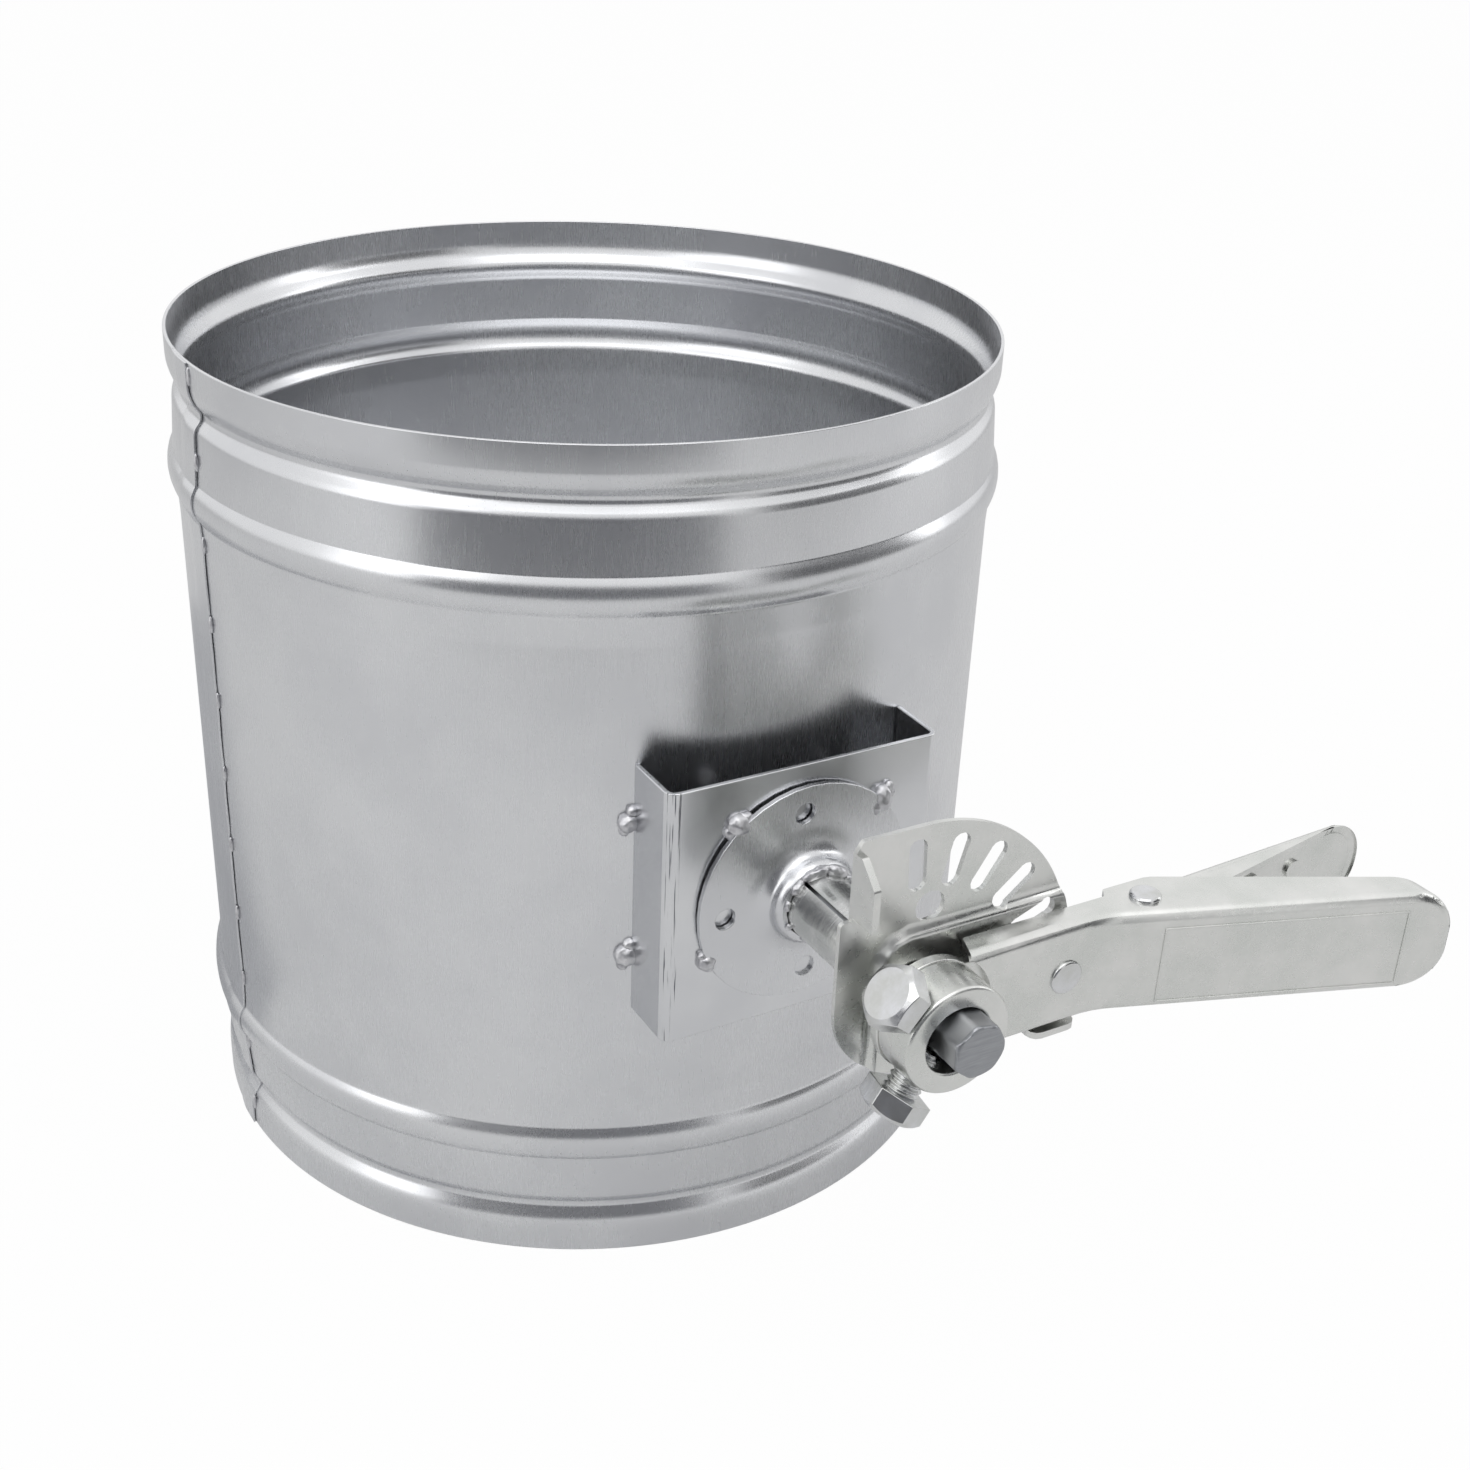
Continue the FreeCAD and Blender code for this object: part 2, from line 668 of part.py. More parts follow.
def make_squeeze_lever():
    ear_top = pin_s + squeeze_ear

    def face_path(inset, near_end):
        return [(near_end, squeeze_web(near_end) + inset, 0), (2 * squeeze_tip, squeeze_web(2 * squeeze_tip) + inset, 0)]

    lip_end = squeeze_web(squeeze_flange_end) + squeeze_lip
    closing = [
        (2 * squeeze_tip, squeeze_web(2 * squeeze_tip) + squeeze_lip, 0), (squeeze_flange_end, lip_end, squeeze_lip_round),
        (pin_spot + squeeze_ear_after, ear_top, squeeze_ear_round),
        (pin_spot - squeeze_ear_before, ear_top, squeeze_ear_round),
        (squeeze_near_end, pin_s - squeeze_heel, squeeze_heel),
    ]
    outer = channel_block(face_path(0, squeeze_near_end), closing, squeeze_half, squeeze_tip, squeeze_end_round,
                          squeeze_edge)
    hollow = channel_block(face_path(squeeze_sheet, -far), [(far, far, 0), (-far, far, 0)],
                           squeeze_half - squeeze_sheet, squeeze_tip - squeeze_sheet,
                           squeeze_end_round - squeeze_sheet, squeeze_edge * inner_edge_share)
    lever = outer.cut(hollow)
    for spot in dimple_spots:
        inner_face = squeeze_web(spot) + squeeze_sheet
        lever = lever.fuse(small_rod(spot, hub_z + dimple_rise, dimple_diameter / 2, inner_face, inner_face + dimple_height))
    nose_front = sector_back - tooth_gap - nose_drop
    nose_back = nose_front - squeeze_sheet
    web_end = squeeze_near_end + squeeze_sheet
    nose = top_prism([
        (nose_tip, nose_back, 0), (nose_bend_start, nose_back, nose_round), (web_end, squeeze_web(web_end), nose_round),
        (web_end + squeeze_sheet, squeeze_web(web_end + squeeze_sheet), 0),
        (web_end + squeeze_sheet, squeeze_web(web_end + squeeze_sheet) + squeeze_sheet, 0),
        (web_end - squeeze_sheet / 2, squeeze_web(web_end) + squeeze_sheet, nose_round - squeeze_sheet),
        (nose_bend_start - squeeze_sheet / 2, nose_front, nose_round - squeeze_sheet), (nose_tip, nose_front, 0),
    ], tooth_z - nose_width / 2, tooth_z + nose_width / 2)
    tooth = top_prism([
        (tooth_start, nose_front - squeeze_sheet / 2, 0), (tooth_start, sector_back - tooth_gap, tooth_round),
        (tooth_end, sector_back - tooth_gap, tooth_round), (tooth_end, nose_front - squeeze_sheet / 2, 0),
    ], -tooth_thickness / 2, tooth_thickness / 2)
    lever = lever.fuse(nose).fuse(turn_about_shaft(tooth, slot_lead)).removeSplitter()
    return lever.cut(small_post(pin_spot, pin_s, pin_diameter / 2 + running_clearance, hub_z - lever_half,
                                hub_z + lever_half))


def make_return_spring():
    """Coil of lofted wire sections about the pin, with a straight leg along each lever."""
    steps = round(spring_turns * small_sides)
    middle = at(pin_spot, pin_s, hub_z - spring_turns * spring_pitch / 2)
    up = FreeCAD.Vector(0, 0, 1)

    def section(step, leg):
        """Wire section on the coil, or on the straight leg that leaves the coil there."""
        turn = math.pi / 2 + 2 * math.pi * step / small_sides
        out = FreeCAD.Vector(math.cos(turn), math.sin(turn), 0)
        point = middle + out * spring_mean_radius + up * (spring_pitch * step / small_sides) + up.cross(out) * leg
        angles = [2 * math.pi * i / spring_wire_sides for i in range(spring_wire_sides + 1)]
        return Part.makePolygon([point + (out * math.cos(angle) + up * math.sin(angle)) * (spring_wire / 2)
                                 for angle in angles])

    coil = [section(step, 0) for step in range(steps + 1)]
    return Part.makeLoft([section(0, -spring_leg)] + coil + [section(steps, spring_leg)], True, True)


def main():
    disc = make_flange_disc()
    shapes = {
        "duct_body": make_duct_body(),
        "mounting_bracket": make_mounting_bracket(),
        "flange_disc": disc,
        "shaft_sleeve": make_shaft_sleeve(),
        "rear_bush": make_rear_bush(),
        "disc_tacks": make_disc_tacks(disc),
        "bracket_tacks": make_bracket_tacks(),
        "quadrant_plate": make_quadrant_plate(),
        "shaft": make_shaft(),
        "blade": make_blade(),
        "blade_bolts": make_blade_bolts(),
        "blade_washers": make_blade_washers(),
        "blade_nuts": make_blade_nuts(),
        "hub": make_hub(),
        "strap": make_strap(),
        "upper_set_bolt": make_set_bolt(upper_bolt_angle, upper_bolt_seat, upper_bolt_turn),
        "lower_set_bolt": make_set_bolt(lower_bolt_angle, lower_bolt_seat, lower_bolt_turn),
        "main_lever": make_main_lever(),
        "lever_rivet": make_lever_rivet(),
        "pivot_pin": make_pivot_pin(),
        "squeeze_lever": make_squeeze_lever(),
        "return_spring": make_return_spring(),
    }
    os.makedirs("parts", exist_ok=True)
    for name, shape in shapes.items():
        shape.exportStep(f"parts/{name}.step")
        print(name, "solids", len(shape.Solids), "valid", shape.isValid(), "volume", round(shape.Volume, 1))


main()
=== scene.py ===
import json
import math

import bmesh
import bpy
from bpy.props import FloatProperty, FloatVectorProperty, IntProperty, PointerProperty, StringProperty
from mathutils import Matrix, Vector, noise


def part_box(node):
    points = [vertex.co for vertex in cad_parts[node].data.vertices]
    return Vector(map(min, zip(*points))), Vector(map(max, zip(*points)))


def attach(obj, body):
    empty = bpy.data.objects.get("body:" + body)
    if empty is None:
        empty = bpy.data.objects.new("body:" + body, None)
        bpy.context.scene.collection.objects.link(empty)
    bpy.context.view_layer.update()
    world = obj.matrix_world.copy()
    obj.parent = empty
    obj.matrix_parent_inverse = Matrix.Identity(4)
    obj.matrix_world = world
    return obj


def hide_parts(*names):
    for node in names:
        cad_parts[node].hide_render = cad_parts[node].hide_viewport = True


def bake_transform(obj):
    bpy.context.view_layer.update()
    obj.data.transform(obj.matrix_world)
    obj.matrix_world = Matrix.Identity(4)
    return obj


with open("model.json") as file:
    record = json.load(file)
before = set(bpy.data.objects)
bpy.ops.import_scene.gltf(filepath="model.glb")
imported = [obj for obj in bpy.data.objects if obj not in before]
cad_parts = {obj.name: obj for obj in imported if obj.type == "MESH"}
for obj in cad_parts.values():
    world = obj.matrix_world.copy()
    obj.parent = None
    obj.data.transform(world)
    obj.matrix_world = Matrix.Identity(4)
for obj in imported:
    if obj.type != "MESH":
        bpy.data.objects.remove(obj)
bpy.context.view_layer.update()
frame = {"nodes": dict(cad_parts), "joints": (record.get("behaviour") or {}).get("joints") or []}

bl_info = {
    "name": "Stove pipe damper",
    "version": (1, 0, 0),
    "blender": (4, 5, 0),
    "location": "3D View > Sidebar > Damper",
    "description": "Dresses the packed solids of a stove pipe damper with its finishes and fine forms",
    "category": "Object",
}

MM = 0.001
SHAFT_HEIGHT = frame["joints"][0]["pos_m"][2]
PIN = Vector(frame["joints"][1]["pos_m"])
OUTWARDS = Vector((0, -1, 0))
UP = Vector((0, 0, 1))
SAWN_END = 1.3 * MM


# Sizes and colours that a user would change

def length_prop(name, description, value):
    """Setting for a length."""
    return FloatProperty(name=name, description=description, default=value, unit="LENGTH")


def angle_prop(name, description, degrees):
    """Setting for an angle."""
    return FloatProperty(name=name, description=description, default=math.radians(degrees), subtype="ANGLE")


def colour_prop(name, what, value):
    """Setting for a colour."""
    return StringProperty(name=name, description=f"sRGB hex of {what}", default=value)


class DuctSizes(bpy.types.PropertyGroup):
    radius: length_prop("Wall radius", "Outside of the plain wall", 100 * MM)
    height: length_prop("Height", "From rim to rim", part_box("duct_body")[1].z)
    sheet: length_prop("Sheet", "Thickness of the sheet", 0.8 * MM)
    steps: IntProperty(name="Steps", description="Faces round the wall", default=220)
    lap_azimuth: angle_prop("Lap azimuth", "Where the lap's free edge stands, from the front", -86.2)
    lap_width: length_prop("Lap width", "Width of the lapped strip", 12 * MM)
    lap_lift: length_prop("Lap lift", "How far the free edge stands off between spot welds", 0.12 * MM)
    lap_sheet: length_prop("Lap sheet", "Thickness of the strip, squeezed thin by the seam rolls", 0.5 * MM)
    spot_spacing: length_prop("Spot weld spacing", "Along the seam", 19.6 * MM)


class FittingSizes(bpy.types.PropertyGroup):
    edge: length_prop("Sheared edge", "Rounding of sheared sheet edges", 0.3 * MM)
    lever_round: length_prop("Lever rounding", "Rounding of the levers' long folds", 1.05 * MM)
    neck_rise: length_prop("Neck rise", "Height added to the rim of the disc's neck", 2.9 * MM)
    neck_fillet: length_prop("Neck fillet", "Drawn rounding between the disc's face and its neck", 3.4 * MM)
    neck_spread: FloatProperty(
        name="Neck spread", description="Width of that rounding on the disc, in its heights", default=1.9)
    neck_slope: length_prop("Neck slope", "Rise of the neck's end from its rim to the sleeve", 0.6 * MM)
    disc_tilt: angle_prop("Disc tilt", "Lean of the flange disc on its tacks", 1.6)
    thread_pitch: length_prop("Thread pitch", "Of the set bolts", 1.25 * MM)
    bolt_chamfer: angle_prop("Head chamfer", "Slope of the bolt heads' corner chamfer", 33)
    border_width: length_prop("Border rib width", "Rib round the bare panel of the grip", 0.7 * MM)
    border_rise: length_prop("Border rib rise", "Height of that rib", 0.3 * MM)
    weld_roughness: length_prop("Weld lumps", "Unevenness of the weld beads", 0.28 * MM)


class FinishColours(bpy.types.PropertyGroup):
    sheet_light: colour_prop("Sheet, light", "the galvanised sheet", "DADBDD")
    sheet_dark: colour_prop("Sheet, dark", "its darker clouds", "D0D1D4")
    plate_light: colour_prop("Plating, light", "the zinc plating", "E0E0DE")
    plate_dark: colour_prop("Plating, dark", "its greenish clouds", "D2D4D1")
    bolt_light: colour_prop("Bolts, light", "the bolts' plating", "DADBDE")
    bolt_dark: colour_prop("Bolts, dark", "its dull film", "C9CAC8")
    bar_side: colour_prop("Bar, side", "the drawn bar", "B4B5B7")
    bar_end: colour_prop("Bar, sawn end", "the sawn end", "AEB0B4")
    weld_light: colour_prop("Weld, light", "the weld metal", "DADADC")
    weld_dark: colour_prop("Weld, dark", "its scale", "B2B2B6")
    wire: colour_prop("Spring wire", "the drawn wire", "8C8E90")
    wire_dark: colour_prop("Spring wire, dark", "its darker clouds", "6E7073")
    scratch: colour_prop("Scratches", "the scratches in the bracket's fold", "5E5F66")
    saw_mark: colour_prop("Saw marks", "the saw marks' hollows", "8A8C90")


class StageSettings(bpy.types.PropertyGroup):
    camera_place: FloatVectorProperty(
        name="Camera place", description="Where the camera stands",
        default=(-201.9 * MM, -419.1 * MM, 328.8 * MM), subtype="TRANSLATION")
    camera_heading: angle_prop("Camera heading", "From +Y towards +X", 30.61)
    camera_pitch: angle_prop("Camera pitch", "Below the horizon", 27.018)
    camera_roll: angle_prop("Camera roll", "About the line of sight", 2.523)
    camera_lens: FloatProperty(name="Lens", description="Focal length on a 36 mm sensor, in mm", default=47.26)
    top_power: FloatProperty(
        name="Top light", description="Power of the softbox overhead", default=5, unit="POWER")
    left_power: FloatProperty(
        name="Left light", description="Power of the left softbox", default=3, unit="POWER")
    right_power: FloatProperty(
        name="Right light", description="Power of the right softbox", default=3, unit="POWER")
    floor: colour_prop("Floor", "the paper floor", "E8E8E8")
    fill: FloatProperty(name="Fill", description="Light from the room on matt surfaces", default=0.65)


# Meshes

def at(x, s, z):
    """Point from mm to the right, mm outwards along the shaft and mm over the shaft's axis."""
    return Vector((x * MM, -s * MM, SHAFT_HEIGHT + z * MM))


def off_shaft(vert):
    """Distance of a vertex from the shaft's axis."""
    return math.hypot(vert.co.x, vert.co.z - SHAFT_HEIGHT)


def frame_along(origin, direction):
    """Matrix that puts a local Z axis on a direction at a point."""
    return Matrix.Translation(origin) @ direction.to_track_quat("Z", "Y").to_matrix().to_4x4()


def edges_in(geom):
    """Edges among the results of a bmesh operator."""
    return [item for item in geom if isinstance(item, bmesh.types.BMEdge)]


def verts_in(geom):
    """Vertices among the results of a bmesh operator."""
    return [item for item in geom if isinstance(item, bmesh.types.BMVert)]


def new_object(name, bm, material):
    """Object from a bmesh, linked to the scene."""
    mesh = bpy.data.meshes.new(name)
    bm.to_mesh(mesh)
    bm.free()
    mesh.materials.append(material)
    piece = bpy.data.objects.new(name, mesh)
    bpy.context.scene.collection.objects.link(piece)
    return piece


def show(name, bm, finish, body, slot, *nodes, smooth=40):
    """Piece from a bmesh, with its finish, its body and the solids that it stands for."""
    piece = new_object(name, bm, finish)
    piece.data.shade_smooth()
    piece.data.set_sharp_from_angle(angle=math.radians(smooth))
    if body:
        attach(piece, body)
    if nodes:
        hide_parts(*nodes)
    return piece


def break_edges(piece, width, segments=3):
    """Small rounding on the sharp edges that are left."""
    bevel = piece.modifiers.new("broken_edges", "BEVEL")
    bevel.width = width
    bevel.segments = segments
    bevel.limit_method = "ANGLE"
    bevel.angle_limit = math.radians(40)
    bevel.harden_normals = True


def flatten(piece):
    """Shades the large faces flat and lets the small ones between them turn."""
    weight = piece.modifiers.new("flat_faces", "WEIGHTED_NORMAL")
    weight.keep_sharp = True


def solid_copy(node):
    """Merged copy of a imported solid, its flat faces whole again."""
    bm = bmesh.new()
    bm.from_mesh(frame["nodes"][node].data)
    bmesh.ops.remove_doubles(bm, verts=bm.verts, dist=2e-6)
    bmesh.ops.dissolve_limit(bm, angle_limit=math.radians(0.5), verts=bm.verts, edges=bm.edges)
    return bm


def round_folds(bm, width, shortest, convex=True):
    """Rounds the folds, which are chamfered in the solids: their faces meet at about 45 degrees."""
    folds = [edge for edge in bm.edges
             if len(edge.link_faces) == 2 and 35 < math.degrees(edge.calc_face_angle()) < 55
             and edge.is_convex == convex and edge.calc_length() > shortest]
    bmesh.ops.bevel(bm, geom=folds, offset=width, offset_type="OFFSET", affect="EDGES", segments=4,
                    profile=0.5, material=-1)


def outline(bm, corners, closed=False):
    """Chain of edges through corners (radius, height, rounding) in the local XZ plane, rounded there."""
    points = [bm.verts.new((radius, 0, height)) for radius, height, rounding in corners]
    ends = points[1:] + points[:1] if closed else points[1:]
    for first, second in zip(points, ends):
        bm.edges.new((first, second))
    for rounding in sorted({corner[2] for corner in corners} - {0}):
        sharp = [point for point, corner in zip(points, corners) if corner[2] == rounding]
        bmesh.ops.bevel(bm, geom=sharp, offset=rounding, offset_type="OFFSET", affect="VERTICES", segments=6,
                        profile=0.5, material=-1)


def turned(corners, place, steps=64, closed=False):
    """Turned piece: a rounded outline spun about the local Z axis, then put in place."""
    bm = bmesh.new()
    outline(bm, corners, closed)
    bmesh.ops.spin(bm, geom=bm.verts[:] + bm.edges[:], cent=(0, 0, 0), axis=(0, 0, 1), angle=2 * math.pi,
                   steps=steps, use_merge=True)
    bmesh.ops.remove_doubles(bm, verts=bm.verts, dist=1e-6)
    bmesh.ops.recalc_face_normals(bm, faces=bm.faces)
    bmesh.ops.transform(bm, matrix=place, verts=bm.verts)
    return bm


def add_thread(bm, radius, length, pitch, place, steps=32):
    """Helical thread: a zigzag line spun with a rise of one pitch per turn."""
    depth = 0.55 * pitch
    count = math.ceil(length / pitch) + 1
    new = []
    for i in range(count):
        new.append(bm.verts.new((radius, 0, (i - 1) * pitch)))
        new.append(bm.verts.new((radius - depth, 0, (i - 0.5) * pitch)))
    edges = [bm.edges.new(pair) for pair in zip(new, new[1:])]
    before = set(bm.verts) - set(new)
    bmesh.ops.spin(bm, geom=new + edges, cent=(0, 0, 0), axis=(0, 0, 1), dvec=(0, 0, pitch / steps),
                   angle=2 * math.pi, steps=steps)
    made = [vert for vert in bm.verts if vert not in before]
    bmesh.ops.remove_doubles(bm, verts=made, dist=1e-6)
    made = [vert for vert in bm.verts if vert not in before]
    bmesh.ops.transform(bm, matrix=place, verts=made)


def add_hex_head(bm, flats, height, place, slope, turn=0):
    """Hexagon head on its seat, its corners chamfered to a cone."""
    before = set(bm.verts)
    ring = bmesh.ops.create_circle(bm, segments=6, radius=flats / math.sqrt(3))["verts"]
    sides = list({edge for vert in ring for edge in vert.link_edges})
    bmesh.ops.subdivide_edges(bm, edges=sides, cuts=9)
    loop = [edge for edge in bm.edges if edge.verts[0] not in before and edge.verts[1] not in before]
    bmesh.ops.edgeloop_fill(bm, edges=loop)
    crown = 0.43 * flats
    for level in ("corners", "crown"):
        loop = edges_in(bmesh.ops.extrude_edge_only(bm, edges=loop)["geom"])
        for vert in {vert for edge in loop for vert in edge.verts}:
            if level == "crown":
                vert.co.xy *= crown / vert.co.xy.length
            vert.co.z = height - (vert.co.xy.length - crown) * math.tan(slope)
    bmesh.ops.edgeloop_fill(bm, edges=loop)
    made = [vert for vert in bm.verts if vert not in before]
    bmesh.ops.recalc_face_normals(bm, faces=list({face for vert in made for face in vert.link_faces}))
    bmesh.ops.transform(bm, matrix=place @ Matrix.Rotation(turn, 4, "Z"), verts=made)


def add_weld_lump(bm, place, size, roughness):
    """Uneven drop of weld metal, size = its length, width and height. Its bumps are about 2 mm wide."""
    drop = bmesh.ops.create_icosphere(bm, subdivisions=4, radius=1)["verts"]
    bmesh.ops.scale(bm, verts=drop, vec=(size[0] / 2, size[1] / 2, size[2]))
    bmesh.ops.transform(bm, matrix=place, verts=drop)
    middle = place.translation
    for vert in drop:
        swell = noise.fractal(vert.co / (2.2 * MM), 0.7, 2.0, 4)
        vert.co += (vert.co - middle).normalized() * swell * roughness


# Materials

def linear(hex_colour):
    """sRGB hex value as a linear colour."""
    parts = [int(hex_colour[i:i + 2], 16) / 255 for i in (0, 2, 4)]
    return [part / 12.92 if part <= 0.04045 else ((part + 0.055) / 1.055) ** 2.4 for part in parts] + [1]


def add_node(tree, kind, inputs=None, **settings):
    """Adds a node with its settings, values and links. A node as a value stands for its first output."""
    node = tree.nodes.new(kind)
    for name, value in settings.items():
        setattr(node, name, value)
    for socket, value in (inputs or {}).items():
        if isinstance(value, bpy.types.Node):
            value = value.outputs[0]
        if isinstance(value, bpy.types.NodeSocket):
            tree.links.new(value, node.inputs[socket])
        else:
            node.inputs[socket].default_value = value
    return node


def blank_material(name):
    """Material with an empty node tree."""
    material = bpy.data.materials.new(name)
    material.use_nodes = True
    material.node_tree.nodes.clear()
    return material


def metal(name, light, dark, cloud_mm, rough, grain_mm, rise_mm):
    """Metal with clouds of two shades, and a fine grain (its size along X, Y and Z) in its gloss and relief.
    Returns the material, its shader, the place on the object, the colour and the relief's height."""
    material = blank_material(name)
    tree = material.node_tree
    place = add_node(tree, "ShaderNodeTexCoord").outputs["Object"]
    clouds = add_node(tree, "ShaderNodeTexNoise",
                      {"Vector": place, "Scale": 1 / (cloud_mm * MM), "Detail": 4.0, "Roughness": 0.6})
    stretch = add_node(tree, "ShaderNodeMapping",
                       {"Vector": place, "Scale": [1 / (size * MM) for size in grain_mm]})
    grain = add_node(tree, "ShaderNodeTexNoise", {"Vector": stretch, "Scale": 1.0, "Detail": 3.0})
    spread = add_node(tree, "ShaderNodeMapRange", {"Value": clouds, "From Min": 0.35, "From Max": 0.65})
    colour = add_node(tree, "ShaderNodeMix", {0: spread, 6: linear(dark), 7: linear(light)}, data_type="RGBA")
    both = add_node(tree, "ShaderNodeMath", {0: grain, 1: clouds}, operation="ADD")
    gloss = add_node(tree, "ShaderNodeMapRange", {"Value": both, "From Min": 0.7, "From Max": 1.3,
                                                  "To Min": rough[0], "To Max": rough[1]})
    relief = add_node(tree, "ShaderNodeBump", {"Height": grain, "Strength": 1.0, "Distance": rise_mm * MM})
    shader = add_node(tree, "ShaderNodeBsdfPrincipled", {"Base Color": colour.outputs[2], "Metallic": 1.0,
                                                         "Roughness": gloss, "Normal": relief})
    add_node(tree, "ShaderNodeOutputMaterial", {"Surface": shader})
    return material, shader, place, colour.outputs[2], grain


def galvanised_sheet(colours):
    """Hot-dip galvanised steel sheet, skin-passed: a satin lilac grey with fine rolling lines up the wall.
    The lines are about 0.1 mm apart and are drawn at 0.5 mm, so that they show."""
    return metal("galvanised_sheet", colours.sheet_light, colours.sheet_dark, cloud_mm=45, rough=(0.25, 0.29),
                 grain_mm=(0.5, 0.5, 7), rise_mm=0.00018)[0]


def scuffed_sheet(colours):
    """The same sheet folded to a bracket: dark scratches, 0.5 mm wide, along its left fold."""
    material, shader, place, colour, grain = metal(
        "galvanised_sheet_scuffed", colours.sheet_light, colours.sheet_dark, cloud_mm=30, rough=(0.2, 0.25),
        grain_mm=(0.5, 0.5, 7), rise_mm=0.0003)
    tree = material.node_tree
    axes = add_node(tree, "ShaderNodeSeparateXYZ", {0: place})
    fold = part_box("mounting_bracket")[0].x
    beside = add_node(tree, "ShaderNodeMath", {0: axes, 1: fold + 1.6 * MM, 2: 1.3 * MM}, operation="COMPARE")
    across, along = 1 / (0.45 * MM), 1 / (14 * MM)
    streaks = add_node(tree, "ShaderNodeMapping", {"Vector": place, "Scale": (across, across, along)})
    marks = add_node(tree, "ShaderNodeTexNoise", {"Vector": streaks, "Scale": 1.0, "Detail": 4.0})
    deep = add_node(tree, "ShaderNodeMapRange", {"Value": marks, "From Min": 0.56, "From Max": 0.64})
    scratch = add_node(tree, "ShaderNodeMath", {0: deep, 1: beside}, operation="MULTIPLY")
    mixed = add_node(tree, "ShaderNodeMix", {0: scratch, 6: colour, 7: linear(colours.scratch)},
                     data_type="RGBA")
    tree.links.new(mixed.outputs[2], shader.inputs["Base Color"])
    cut = add_node(tree, "ShaderNodeMath", {0: scratch, 1: -60.0, 2: grain}, operation="MULTIPLY_ADD")
    tree.links.new(cut.outputs[0], shader.inputs["Normal"].links[0].from_node.inputs["Height"])
    return material


def zinc_plate(colours):
    """Pressed steel with bright zinc plating, clear passivated: half glossy, a faint green film in clouds."""
    return metal("zinc_plated_steel", colours.plate_light, colours.plate_dark, cloud_mm=16,
                 rough=(0.24, 0.34), grain_mm=(1.6, 1.6, 1.6), rise_mm=0.0015)[0]


def drawn_plate(colours):
    """Plated sleeve and bush, rolled and turned: lines that run round them, about 0.5 mm apart."""
    return metal("zinc_plated_turned", colours.plate_light, colours.plate_dark, cloud_mm=9, rough=(0.16, 0.3),
                 grain_mm=(5, 0.5, 5), rise_mm=0.012)[0]


def bolt_zinc(colours):
    """Cold-headed bolts with zinc plating: bright, with a thin dull film and small dents."""
    return metal("zinc_plated_bolt", colours.bolt_light, colours.bolt_dark, cloud_mm=6, rough=(0.14, 0.28),
                 grain_mm=(1.1, 1.1, 1.1), rise_mm=0.012)[0]


def sawn_bar(colours):
    """Drawn mild steel bar: grey and dull on its side, darker on its end, with saw marks 0.5 mm apart."""
    material, shader, place, colour, grain = metal(
        "drawn_steel_bar", colours.bar_side, colours.bar_end, cloud_mm=12, rough=(0.3, 0.45),
        grain_mm=(4, 0.6, 4), rise_mm=0.012)
    tree = material.node_tree
    axes = add_node(tree, "ShaderNodeSeparateXYZ", {0: place})
    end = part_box("shaft")[0].y
    beyond = add_node(tree, "ShaderNodeMath", {0: axes.outputs[1], 1: end + SAWN_END}, operation="LESS_THAN")
    saw = add_node(tree, "ShaderNodeMapping", {"Vector": place, "Rotation": (0, math.radians(35), 0),
                                               "Scale": (1 / (6 * MM), 0, 1 / (0.5 * MM))})
    marks = add_node(tree, "ShaderNodeTexNoise", {"Vector": saw, "Scale": 1.0, "Detail": 3.0})
    shades = add_node(tree, "ShaderNodeMix",
                      {0: marks, 6: linear(colours.saw_mark), 7: linear(colours.bar_end)}, data_type="RGBA")
    mixed = add_node(tree, "ShaderNodeMix", {0: beyond, 6: colour, 7: shades.outputs[2]}, data_type="RGBA")
    tree.links.new(mixed.outputs[2], shader.inputs["Base Color"])
    cut = add_node(tree, "ShaderNodeMath", {0: marks, 1: beyond}, operation="MULTIPLY")
    height = add_node(tree, "ShaderNodeMath", {0: cut, 1: 5.0, 2: grain}, operation="MULTIPLY_ADD")
    tree.links.new(height.outputs[0], shader.inputs["Normal"].links[0].from_node.inputs["Height"])
    return material


def weld_metal(colours):
    """Weld drops of mild steel: solidified metal with ripples and clouds of darker scale."""
    return metal("weld_metal", colours.weld_light, colours.weld_dark, cloud_mm=2.5, rough=(0.28, 0.48),
                 grain_mm=(0.9, 0.9, 0.9), rise_mm=0.03)[0]


def spring_wire(colours):
    """Drawn spring wire: grey with fine lines along it."""
    return metal("spring_wire", colours.wire, colours.wire_dark, cloud_mm=3, rough=(0.25, 0.4),
                 grain_mm=(0.4, 0.4, 0.4), rise_mm=0.005)[0]


FINISHES = {}


def finishes():
    """Every finish once, by name."""
    made = bpy.data.materials
    colours = bpy.context.scene.damper_colours
    for maker in (galvanised_sheet, scuffed_sheet, zinc_plate, drawn_plate, bolt_zinc, sawn_bar, weld_metal,
                  spring_wire):
        if maker.__name__ not in FINISHES:
            FINISHES[maker.__name__] = maker(colours).name
    return {name: made[material] for name, material in FINISHES.items()}


# Pieces

